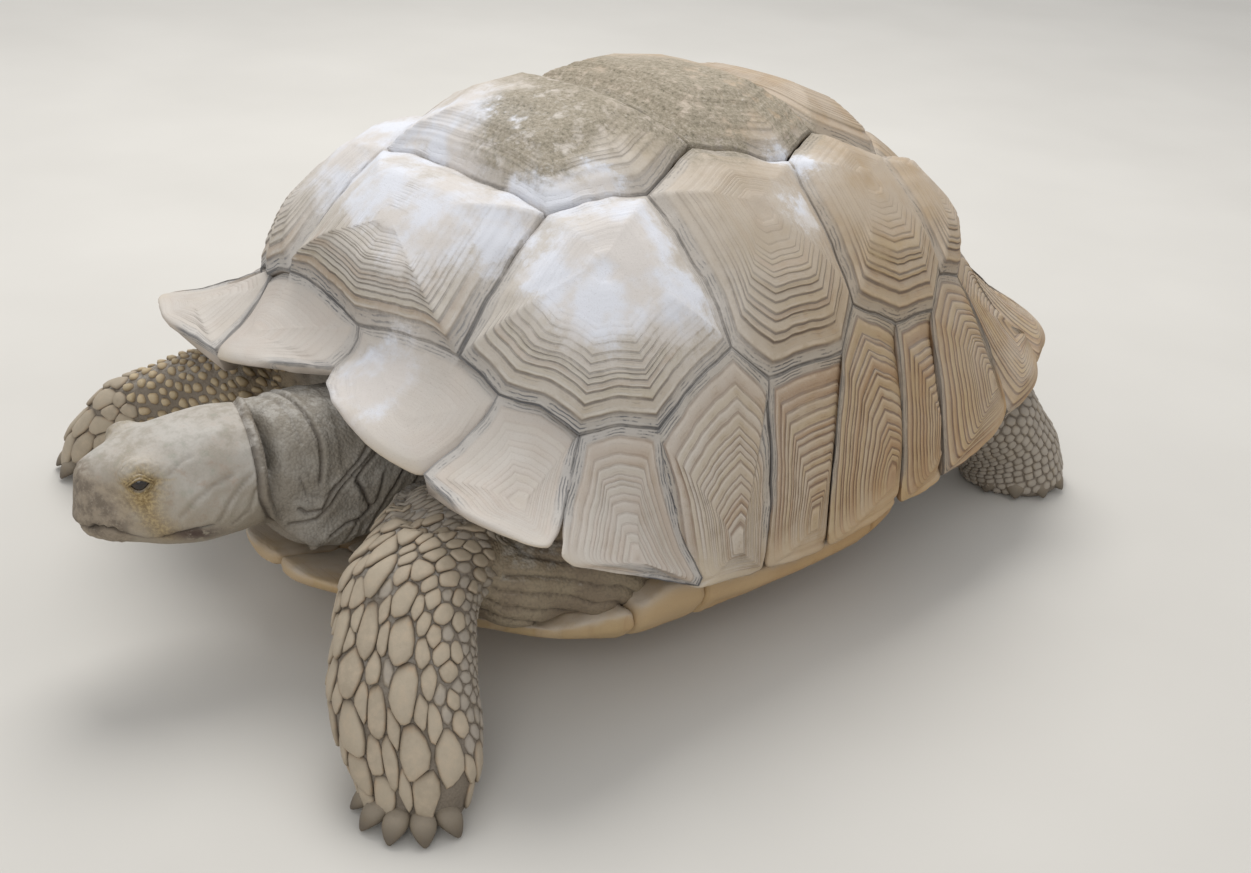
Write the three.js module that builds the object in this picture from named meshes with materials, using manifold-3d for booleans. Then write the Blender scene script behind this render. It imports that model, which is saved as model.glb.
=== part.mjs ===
// An adult African spurred (sulcata) tortoise, life size, standing in mid-stride with its head held level.
// Millimetres, +Z up. The animal faces -Y and its own left side is +X. It stands on z = 0, and the origin
// is under the middle of its bounding box. The horny plates of the shell are separate solids laid on a trunk.
// Head, neck, legs and tail are solids of their own, parted from the trunk and from each other by thin gaps.
import * as THREE from "three";
import { mergeVertices } from "three/addons/utils/BufferGeometryUtils.js";
import Module from "manifold-3d";

const wasm = await Module();
wasm.setup();

// ---------------------------------------------------------------- driving dimensions
const GAP = 0.4; // clearance between neighbouring solids
const DOME = { halfWidth: 246, front: 272, rear: 345, base: 175, rise: 190 };
const PLATE = { thickness: 8, chord: 32, swellBack: 26, swellSide: 18 };
const LIP_DEPTH = 9; // thickness of the marginals' outer lip
const PLASTRON = { underside: 46, thickness: 14 };
const TRUNK_INSET = 10.5; // trunk below the outer face of the dome
const BRIDGE_WALL = 24; // thickness of the plastron where it climbs to the marginals
const EYE_RADIUS = 9;

// ---------------------------------------------------------------- small mathematics
const rad = (degrees) => (degrees * Math.PI) / 180;
const lerp = (a, b, t) => a + (b - a) * t;
const mix = (p, q, t) => p.map((value, k) => lerp(value, q[k], t));
const add = (p, q, scale = 1) => p.map((value, k) => value + q[k] * scale);
const mirrored = (p) => [-p[0], ...p.slice(1)];
const average = (points) => points[0].map((_, k) => points.reduce((sum, p) => sum + p[k], 0) / points.length);
const vector = (p) => new THREE.Vector3(...p);

// Straight-line reading of rows of [position, value].
function along(rows, x) {
  const next = rows.findIndex((row) => row[0] > x);
  if (next === 0) return rows[0][1];
  if (next < 0) return rows.at(-1)[1];
  const [from, to] = [rows[next - 1], rows[next]];
  return lerp(from[1], to[1], (x - from[0]) / (to[0] - from[0]));
}

// ---------------------------------------------------------------- closed meshes
// A geometry from points and triangles, turned inside out if its faces point inwards.
function closedBody(points, faces) {
  const volume = faces.reduce((sum, face) => {
    const [a, b, c] = face.map((i) => vector(points[i]));
    return sum + a.dot(b.cross(c));
  }, 0);
  const geometry = new THREE.BufferGeometry();
  geometry.setAttribute("position", new THREE.BufferAttribute(new Float32Array(points.flat()), 3));
  geometry.setIndex(faces.flatMap(([a, b, c]) => (volume < 0 ? [a, c, b] : [a, b, c])));
  return geometry;
}

// The side faces between rings of equal size, the first point of the first ring being point number first.
function sideFaces(rings, first) {
  const count = rings[0].length;
  const at = (ring, k) => first + ring * count + (k % count);
  return rings.slice(1).flatMap((_, ring) => rings[0].flatMap((_, k) => [
    [at(ring, k), at(ring, k + 1), at(ring + 1, k)],
    [at(ring, k + 1), at(ring + 1, k + 1), at(ring + 1, k)],
  ]));
}

// A rounded body: rings between a point at its start and one at its end.
function ringBody(start, rings, end) {
  const count = rings[0].length;
  const last = 1 + rings.length * count;
  const faces = sideFaces(rings, 1);
  for (let k = 0; k < count; k++) {
    const next = (k + 1) % count;
    faces.push([0, 1 + next, 1 + k], [last, last - count + k, last - count + next]);
  }
  return closedBody([start, ...rings.flat(), end], faces);
}

// A bar of one changing profile, whose upright end profiles may be hollow in outline.
function profileBody(profiles) {
  const count = profiles[0].length;
  const end = (profile, first, turn) => {
    const away = profile.map(([x, y]) => new THREE.Vector2(x - profile[0][0], y - profile[0][1]));
    const way = away.reduce((a, b) => (a.length() > b.length() ? a : b)).clone().normalize();
    const flat = away.map((p, i) => new THREE.Vector2(p.dot(way), profile[i][2]));
    const along = THREE.ShapeUtils.area(flat) > 0;
    return THREE.ShapeUtils.triangulateShape(flat, []).map(([a, b, c]) => {
      const same = THREE.ShapeUtils.area([flat[a], flat[b], flat[c]]) > 0 === along;
      return (same === turn ? [a, c, b] : [a, b, c]).map((i) => first + i);
    });
  };
  const faces = sideFaces(profiles, 0);
  faces.push(...end(profiles[0], 0, true), ...end(profiles.at(-1), (profiles.length - 1) * count, false));
  return closedBody(profiles.flat(), faces);
}

function toSolid(geometry) {
  const bare = geometry.clone().deleteAttribute("normal").deleteAttribute("uv");
  const merged = mergeVertices(bare, 1e-3);
  const triVerts = new Uint32Array(merged.index.array);
  const mesh = new wasm.Mesh({ numProp: 3, vertProperties: merged.attributes.position.array, triVerts });
  return new wasm.Manifold(mesh);
}

// The largest body of a solid, as a geometry: slivers that a cut leaves loose are dropped.
function toGeometry(solid) {
  const body = solid.decompose().reduce((a, b) => (a.volume() > b.volume() ? a : b));
  const mesh = body.getMesh();
  const geometry = new THREE.BufferGeometry();
  geometry.setAttribute("position", new THREE.BufferAttribute(new Float32Array(mesh.vertProperties), 3));
  geometry.setIndex(new THREE.BufferAttribute(mesh.triVerts, 1));
  return geometry;
}

const joined = (solids) => solids.reduce((a, b) => a.add(b));

// ---------------------------------------------------------------- dome of the carapace
// How far out a place lies in plan: 0 under the top, 1 at the foot of the dome. Squarer in front than behind.
function domeShare(x, y) {
  const power = y < 0 ? 3.2 : 2.6;
  const length = y < 0 ? DOME.front : DOME.rear;
  return (Math.abs(x / DOME.halfWidth) ** power + Math.abs(y / length) ** power) ** (1 / power);
}

const domeHeight = (x, y) => DOME.base + DOME.rise * (1 - Math.min(domeShare(x, y), 0.995) ** 2.3) ** (2 / 3);

// The point of the dome at a place in plan, moved out along its normal by lift.
function domePoint([x, y], lift) {
  const step = 2;
  const slopeX = (domeHeight(x + step, y) - domeHeight(x - step, y)) / (2 * step);
  const slopeY = (domeHeight(x, y + step) - domeHeight(x, y - step)) / (2 * step);
  const normal = new THREE.Vector3(-slopeX, -slopeY, 1).normalize();
  return add([x, y, domeHeight(x, y)], normal.toArray(), lift);
}

// Seam corners of the animal's left half, in plan: first round the shoulder of the dome, then over the back.
const seam = {
  front: [0, -249],
  brow: [102, -238],
  m12: [141, -235],
  m23: [193, -208],
  m34: [221, -159],
  c12: [215, -85],
  m45: [230, -61],
  m56: [231, 21],
  c23: [216, 47],
  m67: [226, 89],
  m78: [220, 144],
  c34: [201, 176],
  m89: [194, 213],
  m910: [155, 267],
  m1011: [113, 297],
  m11: [51, 319],
  rear: [0, 322],
  v12: [92, -152],
  v2: [121, -84],
  v23: [97, -18],
  v3: [127, 59],
  v34: [94, 126],
  v4: [112, 190],
  v45: [73, 246],
};

// A line through the corners, cut into equal chords so that neighbours share their points.
function chords(corners) {
  const cuts = corners.slice(1).map((b, i) => {
    const a = corners[i];
    const count = Math.max(1, Math.ceil(Math.hypot(a[0] - b[0], a[1] - b[1]) / PLATE.chord));
    return Array.from({ length: count }, (_, k) => mix(a, b, k / count));
  });
  return [...cuts.flat(), corners.at(-1)];
}

// A vertebral or costal plate: a low cushion that rises from its seam to the old, flat areola at its middle.
function plate(corners, swell) {
  const edge = chords([...corners, corners[0]]).slice(0, -1);
  const middle = average(edge);
  const reach = average(edge.map((p) => [Math.hypot(p[0] - middle[0], p[1] - middle[1])]))[0];
  const shrink = 1 - GAP / reach;
  const ring = (share, lift) => edge.map((p) => domePoint(mix(middle, p, share * shrink), lift));
  const inside = -PLATE.thickness;
  const under = [ring(0.5, inside), ring(1, inside)];
  const over = [ring(1, -1), ring(0.88, 0.5 * swell), ring(0.5, 0.93 * swell)];
  return ringBody(domePoint(middle, inside), [...under, ...over], domePoint(middle, swell));
}

// ---------------------------------------------------------------- marginals
// Corners of the rim on the left side, in space: raised in front, low along the bridge, flared behind.
const rim = {
  front: [0, -270, 209],
  m12: [131, -290, 182],
  m23: [240, -268, 165],
  m34: [257, -146, 106],
  m45: [252, -72, 91],
  m56: [255, -6, 84],
  m67: [261, 74, 99],
  m78: [261, 130, 105],
  m89: [246, 236, 119],
  m910: [228, 304, 140],
  m1011: [170, 368, 156],
  m11: [66, 384, 140],
  rear: [0, 386, 134],
};
const raisedRight = { m23: [-256, -266, 186] }; // the right front corner curls up

const rimCorner = (name, side) => (side > 0 ? rim[name] : raisedRight[name] ?? mirrored(rim[name]));

// One marginal between two rim corners. lobe: how far its lip stands out past its ends; hollow: how much
// its outer face dips (a flared lip) or swells (below zero, along the bridge).
function marginal(top, from, to, lobe, hollow) {
  const line = chords(top);
  const lengths = line.slice(1).map((p, i) => Math.hypot(p[0] - line[i][0], p[1] - line[i][1]));
  const total = lengths.reduce((sum, value) => sum + value, 0);
  const chord = vector(to).sub(vector(from));
  const out = new THREE.Vector2(-chord.y, chord.x).normalize();
  if (out.x * (from[0] + to[0]) + out.y * (from[1] + to[1] - 60) < 0) out.negate();
  let run = 0;
  const sections = line.map((p, i) => {
    run += i ? lengths[i - 1] : 0;
    const share = run / total;
    const stand = lobe * (1 - Math.abs(2 * share - 1) ** 2.5);
    const edge = add(mix(from, to, share), [out.x, out.y, 0.3], stand);
    return marginalSection(p, edge, hollow);
  });
  const width = Math.hypot(chord.x, chord.y);
  return profileBody(sections.map((section) => section.map((p, j) => {
    const middle = mix(sections[0][j], sections.at(-1)[j], 0.5);
    return mix(p, middle, (1.4 * GAP) / width);
  })));
}

// Seam, outer face, rounded lip, underside back to the trunk, and the inner face up to the seam again.
function marginalSection([x, y], edge, hollow) {
  const clear = 1 + GAP / DOME.halfWidth;
  const shoulder = [x * clear, y * clear];
  const outer = domePoint(shoulder, -1);
  const out = new THREE.Vector2(edge[0] - outer[0], edge[1] - outer[1]).normalize();
  const inner = domePoint(shoulder, -PLATE.thickness);
  const depth = (inner[0] - outer[0]) * out.x + (inner[1] - outer[1]) * out.y;
  const face = (share) => {
    const dip = 4 * share * (1 - share) * hollow;
    return add(mix(outer, edge, share), [-out.x, -out.y, hollow > 0 ? -0.6 : -0.2], dip);
  };
  const reach = Math.hypot(edge[0] - outer[0], edge[1] - outer[1]);
  const rootInset = hollow > 0 ? Math.min(48, 8 + 0.85 * reach) : 20;
  const under = (inset, drop) => [edge[0] - out.x * inset, edge[1] - out.y * inset, edge[2] - drop];
  return [
    outer,
    face(0.3),
    face(0.65),
    edge,
    under(2, 0.8 * LIP_DEPTH),
    under(12, LIP_DEPTH),
    under(rootInset, hollow > 0 ? -8 : 2),
    [outer[0] + out.x * depth, outer[1] + out.y * depth, inner[2]],
  ];
}

const MARGINALS = [
  { top: ["front", "brow", "m12"], rim: ["front", "m12"], lobe: 24, hollow: 6 },
  { top: ["m12", "m23"], rim: ["m12", "m23"], lobe: 19, hollow: 7 },
  { top: ["m23", "m34"], rim: ["m23", "m34"], lobe: 10, hollow: 6 },
  { top: ["m34", "c12", "m45"], rim: ["m34", "m45"], lobe: 3, hollow: -9 },
  { top: ["m45", "m56"], rim: ["m45", "m56"], lobe: 3, hollow: -11 },
  { top: ["m56", "c23", "m67"], rim: ["m56", "m67"], lobe: 3, hollow: -11 },
  { top: ["m67", "m78"], rim: ["m67", "m78"], lobe: 3, hollow: -9 },
  { top: ["m78", "c34", "m89"], rim: ["m78", "m89"], lobe: 6, hollow: -5 },
  { top: ["m89", "m910"], rim: ["m89", "m910"], lobe: 10, hollow: 4 },
  { top: ["m910", "m1011"], rim: ["m910", "m1011"], lobe: 16, hollow: 8 },
  { top: ["m1011", "m11"], rim: ["m1011", "m11"], lobe: 12, hollow: 7 },
];

// ---------------------------------------------------------------- plastron
// Half-width of the belly along the animal, and how high its sides climb: to the marginals along the bridge.
const BELLY_HALF_WIDTH = [
  [-328, 42], [-308, 70], [-265, 130], [-221, 195], [-185, 229], [-130, 241],
  [-20, 247], [60, 250], [110, 238], [148, 172], [190, 122], [240, 96], [292, 62],
];
const BELLY_SIDE_TOP = [
  [-190, 62], [-165, 92], [-140, 94], [-72, 78],
  [-6, 71], [74, 85], [112, 89], [135, 62],
];
const BELLY_SEAMS = [-328, -268, -176, -118, 66, 182, 280];
const BELLY_PLATES = ["gular", "humeral", "pectoral", "abdominal", "femoral", "anal"];

// The left half of the belly at y, from the midline out and back. room swells it, for use as a cutter.
function bellySection(y, room) {
  const half = along(BELLY_HALF_WIDTH, y) + room;
  const low = PLASTRON.underside - room + Math.max(0, 0.22 * (-262 - y));
  const top = low + PLASTRON.thickness + 2 * room;
  const side = Math.max(along(BELLY_SIDE_TOP, y) + room, top);
  const inner = half - BRIDGE_WALL - 2 * room;
  const midline = room ? -1 : GAP / 2;
  const skirt = [[midline, low + 1], [0.55 * half, low], [half - 14, low + 2], [half, lerp(low, side, 0.55)]];
  const inside = [[half - 1, side], [inner, side], [inner - 2, top], [midline, top]];
  return [...skirt, ...inside].map(([x, z]) => [x, y, z]);
}

function bellyPlate(from, to, side, room = 0) {
  const count = Math.ceil((to - from) / 46);
  const [start, end] = [from + GAP / 2 - room, to - GAP / 2 + room];
  const profiles = Array.from({ length: count + 1 }, (_, k) => {
    return bellySection(lerp(start, end, k / count), room).map(([x, y, z]) => [side * x, y, z]);
  });
  return profileBody(profiles);
}

// ---------------------------------------------------------------- trunk
const MIDDLE = [0, 30]; // the middle of the shell in plan

// Rings from the top of the back down over the shoulder, in behind the marginals and down to the plastron.
function trunk() {
  const left = MARGINALS.flatMap(({ top, rim: [from, to], hollow }) => {
    const peak = top.length === 3 ? seam[top[1]] : mix(seam[top[0]], seam[top[1]], 0.5);
    const flared = hollow > 0;
    return [
      { top: seam[top[0]], edge: rim[from], flared },
      { top: peak, edge: mix(rim[from], rim[to], 0.5), flared },
    ];
  });
  left.push({ top: seam.rear, edge: rim.rear, flared: true });
  const rightSide = left.slice(1, -1).reverse().map((station) => {
    return { ...station, top: mirrored(station.top), edge: mirrored(station.edge) };
  });
  const stations = [...left, ...rightSide];
  const onDome = (share) => stations.map(({ top }) => domePoint(mix(MIDDLE, top, share), -TRUNK_INSET));
  const wall = (behindLip, behindBridge, height) => stations.map(({ edge, flared }) => {
    const reach = Math.hypot(edge[0] - MIDDLE[0], edge[1] - MIDDLE[1]);
    const [x, y] = mix(edge, MIDDLE.concat(0), (flared ? behindLip : behindBridge) / reach);
    const widest = height < 100 ? along(BELLY_HALF_WIDTH, y) - BRIDGE_WALL - 4 : Infinity;
    return [Math.sign(x) * Math.min(Math.abs(x), widest), y, height];
  });
  const floor = PLASTRON.underside + PLASTRON.thickness + GAP;
  const rings = [onDome(0.3), onDome(0.58), onDome(0.8), onDome(0.97)];
  rings.push(wall(70, 36, 130), wall(70, 40, 98), wall(76, 46, floor));
  return ringBody(domePoint(MIDDLE, -TRUNK_INSET), rings, [...MIDDLE, floor]);
}

// ---------------------------------------------------------------- soft parts
const FOOT_HEIGHT = 90; // below this a limb's sections level out towards the sole

// A limb, neck or head: rounded sections along a bent axis. Each station gives its centre, the half-widths
// across and through, and the flat direction of its width in degrees from +X.
function fleshBody(stations) {
  const count = 14;
  const curve = new THREE.CatmullRomCurve3(stations.map((s) => vector(s.at)));
  const sections = stations.map((s, i) => {
    const upright = Math.max(0, 1 - s.at[2] / FOOT_HEIGHT);
    const tangent = curve.getTangent(i / (stations.length - 1));
    tangent.lerp(new THREE.Vector3(0, 0, -1), upright).normalize();
    const across = new THREE.Vector3(Math.cos(rad(s.turn)), Math.sin(rad(s.turn)), 0);
    across.addScaledVector(tangent, -across.dot(tangent)).normalize();
    const through = tangent.clone().cross(across);
    return Array.from({ length: count }, (_, k) => {
      const angle = (2 * Math.PI * (k + 0.5)) / count;
      const blunt = (value) => Math.sign(value) * Math.abs(value) ** 0.88;
      const p = vector(s.at).addScaledVector(across, blunt(Math.cos(angle)) * s.wide);
      return p.addScaledVector(through, blunt(Math.sin(angle)) * s.deep).toArray();
    });
  });
  return ringBody(average(sections[0]), sections, average(sections.at(-1)));
}

const station = (at, wide, deep, turn) => ({ at, wide, deep, turn });

const eyeball = (centre, radius) => new THREE.SphereGeometry(radius, 12, 8).translate(...centre);

// A blunt, flattened claw from its root, pointing the way of heading (degrees from +X) and dipping down.
function claw(root, radius, length, heading, dip) {
  const cone = new THREE.ConeGeometry(radius, length, 8);
  cone.scale(1, 1, 0.75);
  cone.translate(0, 0.3 * length, 0);
  const level = Math.cos(rad(dip));
  const way = [level * Math.cos(rad(heading)), level * Math.sin(rad(heading)), -Math.sin(rad(dip))];
  cone.applyQuaternion(new THREE.Quaternion().setFromUnitVectors(new THREE.Vector3(0, 1, 0), vector(way)));
  return cone.translate(...root);
}

// Claws side by side round the front of a foot that stands at centre and points the way of heading.
function clawRow({ centre, reach, count, spread, heading, radius, length }) {
  return Array.from({ length: count }, (_, k) => {
    const turn = heading + spread * (k / (count - 1) - 0.5);
    const root = add(centre, [Math.cos(rad(turn)), Math.sin(rad(turn)), 0], reach);
    return toSolid(claw(root, radius, length, turn, 22));
  });
}

// ---------------------------------------------------------------- limbs, head and tail
const FORE_CLAWS = { reach: 28, count: 5, spread: 130, radius: 10, length: 30 };
const HIND_CLAWS = { reach: 38, count: 4, spread: 95, radius: 10, length: 26 };
const LIMBS = {
  foreleg_left: {
    path: [
      station([108, -196, 118], 38, 34, 20),
      station([122, -262, 130], 44, 36, 25),
      station([150, -318, 106], 47, 38, 30),
      station([184, -348, 66], 50, 36, 32),
      station([213, -361, 28], 49, 36, 34),
      station([222, -365, 8], 44, 34, 34),
      station([223, -365, 0], 38, 29, 34),
    ],
    claws: { ...FORE_CLAWS, centre: [223, -365, 15], heading: -62 },
  },
  foreleg_right: {
    path: [
      station([-120, -186, 106], 40, 32, 20),
      station([-186, -214, 112], 42, 33, 60),
      station([-248, -240, 94], 44, 33, 78),
      station([-296, -266, 62], 45, 33, 70),
      station([-322, -284, 28], 44, 34, 60),
      station([-328, -290, 8], 41, 33, 55),
      station([-329, -291, 0], 35, 28, 55),
    ],
    claws: { ...FORE_CLAWS, centre: [-329, -291, 15], heading: -125 },
  },
  hindleg_left: {
    path: [
      station([112, 200, 90], 40, 30, 0),
      station([152, 268, 86], 46, 36, 0),
      station([178, 314, 70], 50, 44, 20),
      station([190, 340, 40], 46, 45, 30),
      station([195, 347, 12], 49, 47, 30),
      station([196, 348, 0], 45, 43, 30),
    ],
    claws: { ...HIND_CLAWS, centre: [196, 348, 14], heading: -35 },
  },
  hindleg_right: {
    path: [
      station([-112, 170, 90], 40, 30, 0),
      station([-158, 218, 84], 46, 38, 0),
      station([-190, 238, 66], 49, 46, -20),
      station([-202, 242, 38], 46, 45, -30),
      station([-204, 242, 12], 49, 47, -30),
      station([-204, 242, 0], 45, 43, -30),
    ],
    claws: { ...HIND_CLAWS, centre: [-204, 242, 14], heading: -125 },
  },
};

const NECK = [
  station([0, -190, 129], 62, 51, 0),
  station([-4, -250, 137], 53, 51, 0),
  station([-11, -300, 143], 47, 49, -8),
  station([-15, -330, 146], 43, 43, -16),
];

// The head is turned to the animal's right and nods a little. Places on it are given forward from the
// collar, to its left, and up from its axis.
const HEAD_ROOT = [-15, -331, 147];
const HEAD_TURN = 20;
const HEAD_NOD = 3;
function onHead(forward, aside, up) {
  const place = new THREE.Vector3(aside, -forward, up);
  place.applyAxisAngle(new THREE.Vector3(1, 0, 0), rad(HEAD_NOD));
  place.applyAxisAngle(new THREE.Vector3(0, 0, 1), rad(-HEAD_TURN));
  return add(HEAD_ROOT, place.toArray());
}
// Rows of [forward, up, half width, half height].
const HEAD = [
  [0, 0, 44, 43],
  [23, -1.5, 47, 45.5],
  [48, -3.5, 46.5, 46.5],
  [72, -3.5, 42, 43.5],
  [94, -4, 34, 38],
  [110, -4.5, 26, 33],
  [120, -4, 19, 28],
  [126, -3, 12, 21],
].map(([forward, up, wide, deep]) => station(onHead(forward, 0, up), wide, deep, -HEAD_TURN));
const EYES = { eye_left: onHead(83, 33, 18), eye_right: onHead(83, -33, 18) };
const TAIL = [
  station([0, 270, 98], 28, 22, 0),
  station([0, 318, 90], 26, 20, 0),
  station([0, 348, 64], 18, 15, 0),
  station([0, 358, 42], 8, 8, 0),
];

// ---------------------------------------------------------------- the animal
const matt = (color, roughness) => new THREE.MeshStandardMaterial({ color, roughness, metalness: 0 });
const materials = {
  back: matt(0xb59c80, 0.75),
  edge: matt(0xc2a286, 0.75),
  belly: matt(0xc39a5c, 0.7),
  skin: matt(0x9c8c76, 0.85),
  eye: matt(0x1c1611, 0.1),
};
const tortoise = new THREE.Group();

function place(name, material, geometry) {
  const mesh = new THREE.Mesh(geometry, materials[material]);
  mesh.name = name;
  tortoise.add(mesh);
}

const corners = (names, side) => names.map((name) => (side > 0 ? seam[name] : mirrored(seam[name])));
const bothSides = (names) => [...corners(names, 1), ...corners([...names].reverse(), -1)];
const COSTALS = [
  ["brow", "m12", "m23", "m34", "c12", "v2", "v12"],
  ["c12", "m45", "m56", "c23", "v3", "v23", "v2"],
  ["c23", "m67", "m78", "c34", "v4", "v34", "v3"],
  ["c34", "m89", "m910", "m1011", "v45", "v4"],
];

place("vertebral_1", "back", plate([seam.front, ...bothSides(["brow", "v12"])], PLATE.swellBack));
place("vertebral_2", "back", plate(bothSides(["v12", "v2", "v23"]), PLATE.swellBack));
place("vertebral_3", "back", plate(bothSides(["v23", "v3", "v34"]), PLATE.swellBack));
place("vertebral_4", "back", plate(bothSides(["v34", "v4", "v45"]), PLATE.swellBack));
const lastPlate = bothSides(["v45", "m1011", "m11"]).toSpliced(3, 0, seam.rear);
place("vertebral_5", "back", plate(lastPlate, PLATE.swellBack));
for (const [side, word] of [[1, "left"], [-1, "right"]]) {
  COSTALS.forEach((names, i) => {
    place(`costal_${i + 1}_${word}`, "back", plate(corners(names, side), PLATE.swellSide));
  });
  MARGINALS.forEach(({ top, rim: [from, to], lobe, hollow }, i) => {
    const ends = [rimCorner(from, side), rimCorner(to, side)];
    place(`marginal_${i + 1}_${word}`, "edge", marginal(corners(top, side), ...ends, lobe, hollow));
  });
  BELLY_PLATES.forEach((name, i) => {
    place(`${name}_${word}`, "belly", bellyPlate(BELLY_SEAMS[i], BELLY_SEAMS[i + 1], side));
  });
}
const supracaudalTop = [seam.m11, seam.rear, mirrored(seam.m11)];
place("supracaudal", "edge", marginal(supracaudalTop, rim.m11, mirrored(rim.m11), 10, 6));

const bellyRoom = [1, -1].flatMap((side) => BELLY_PLATES.map((_, i) => {
  return toSolid(bellyPlate(BELLY_SEAMS[i], BELLY_SEAMS[i + 1], side, GAP));
}));
const belly = joined(bellyRoom);
const trunkCentre = [0, 30, 150];
const roomyTrunk = trunk().translate(...trunkCentre.map((v) => -v)).scale(1.004, 1.004, 1.004);
const trunkRoom = toSolid(roomyTrunk.translate(...trunkCentre)).add(belly);
place("trunk", "skin", toGeometry(toSolid(trunk()).subtract(belly)));
const skull = toSolid(fleshBody(HEAD));
const headRoom = skull.add(skull.translate([0, GAP, 0]));
place("neck", "skin", toGeometry(toSolid(fleshBody(NECK)).subtract(trunkRoom).subtract(headRoom)));
const sockets = Object.values(EYES).map((p) => toSolid(eyeball(p, EYE_RADIUS + GAP)));
place("head", "skin", toGeometry(skull.subtract(joined(sockets))));
for (const [name, p] of Object.entries(EYES)) place(name, "eye", eyeball(p, EYE_RADIUS));
place("tail", "skin", toGeometry(toSolid(fleshBody(TAIL)).subtract(trunkRoom)));
for (const [name, { path, claws }] of Object.entries(LIMBS)) {
  const leg = joined([toSolid(fleshBody(path)), ...clawRow(claws)]);
  place(name, "skin", toGeometry(leg.subtract(trunkRoom)));
}

const box = new THREE.Box3().setFromObject(tortoise);
tortoise.position.set(-(box.min.x + box.max.x) / 2, -(box.min.y + box.max.y) / 2, -box.min.z);

export default tortoise;
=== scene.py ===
import math
import random

import bmesh
import bpy
import numpy as np
from mathutils import Matrix, Vector, noise
from mathutils.bvhtree import BVHTree


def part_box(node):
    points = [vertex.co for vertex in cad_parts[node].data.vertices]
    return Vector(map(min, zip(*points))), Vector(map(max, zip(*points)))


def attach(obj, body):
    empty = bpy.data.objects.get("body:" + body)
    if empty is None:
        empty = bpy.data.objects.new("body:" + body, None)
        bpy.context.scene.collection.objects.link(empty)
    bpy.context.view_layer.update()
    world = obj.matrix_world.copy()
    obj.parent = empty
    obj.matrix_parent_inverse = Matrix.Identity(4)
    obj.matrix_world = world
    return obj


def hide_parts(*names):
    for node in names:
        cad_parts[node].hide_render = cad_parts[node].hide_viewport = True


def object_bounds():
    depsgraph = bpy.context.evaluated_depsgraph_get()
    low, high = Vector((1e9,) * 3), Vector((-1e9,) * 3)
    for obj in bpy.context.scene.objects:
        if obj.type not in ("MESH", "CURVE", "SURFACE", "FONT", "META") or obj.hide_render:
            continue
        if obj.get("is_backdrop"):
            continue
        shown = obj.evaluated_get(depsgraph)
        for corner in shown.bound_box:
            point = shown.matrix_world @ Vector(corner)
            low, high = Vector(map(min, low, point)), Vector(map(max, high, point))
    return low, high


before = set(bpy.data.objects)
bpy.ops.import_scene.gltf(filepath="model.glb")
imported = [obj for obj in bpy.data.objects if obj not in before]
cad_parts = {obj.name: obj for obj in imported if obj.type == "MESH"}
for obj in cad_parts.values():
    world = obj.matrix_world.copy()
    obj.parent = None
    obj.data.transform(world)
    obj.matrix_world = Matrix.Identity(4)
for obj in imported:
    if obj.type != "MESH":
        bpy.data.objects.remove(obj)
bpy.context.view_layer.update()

# ---------------------------------------------------------------- camera
# Stands in front of the left shoulder and looks down at the shell, slightly rolled.
shell_low, shell_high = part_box("vertebral_3")
MIDLINE = (shell_low.x + shell_high.x) / 2
ORIGIN_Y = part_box("abdominal_left")[0].y + 0.1178   # the shell's own middle
CAMERA_TARGET = Vector((MIDLINE + 0.073, ORIGIN_Y - 0.043, 0.113))
CAMERA_DISTANCE = 1.316
CAMERA_AZIMUTH = math.radians(45.0)
CAMERA_HEIGHT = math.radians(26.3)
CAMERA_ROLL = math.radians(3.2)

camera = bpy.data.objects.new("camera", bpy.data.cameras.new("camera"))
camera.data.lens = 46.9
camera.data.sensor_width = 36
camera.data.clip_start = 0.05
camera.data.clip_end = 30
back = Vector((
    math.sin(CAMERA_AZIMUTH) * math.cos(CAMERA_HEIGHT),
    -math.cos(CAMERA_AZIMUTH) * math.cos(CAMERA_HEIGHT),
    math.sin(CAMERA_HEIGHT),
))
level = Vector((math.cos(CAMERA_AZIMUTH), math.sin(CAMERA_AZIMUTH), 0))
side = level * math.cos(CAMERA_ROLL) + back.cross(level) * math.sin(CAMERA_ROLL)
camera.matrix_world = Matrix((side, back.cross(side), back)).transposed().to_4x4()
camera.location = CAMERA_TARGET + back * CAMERA_DISTANCE
bpy.context.scene.collection.objects.link(camera)
bpy.context.scene.camera = camera
bpy.context.scene.view_settings.view_transform = "Standard"


# ---------------------------------------------------------------- floor and light
# A pale matt studio floor that runs to the edge of sight, one broad soft lamp from the upper left
# behind the animal, a weaker one from the camera's side, and an even pale surrounding.
def linear(hex_colour):
    """An sRGB hex colour as linear RGBA."""
    shares = [int(hex_colour[i:i + 2], 16) / 255 for i in (1, 3, 5)]
    return [s / 12.92 if s < 0.04045 else ((s + 0.055) / 1.055) ** 2.4 for s in shares] + [1]


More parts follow.
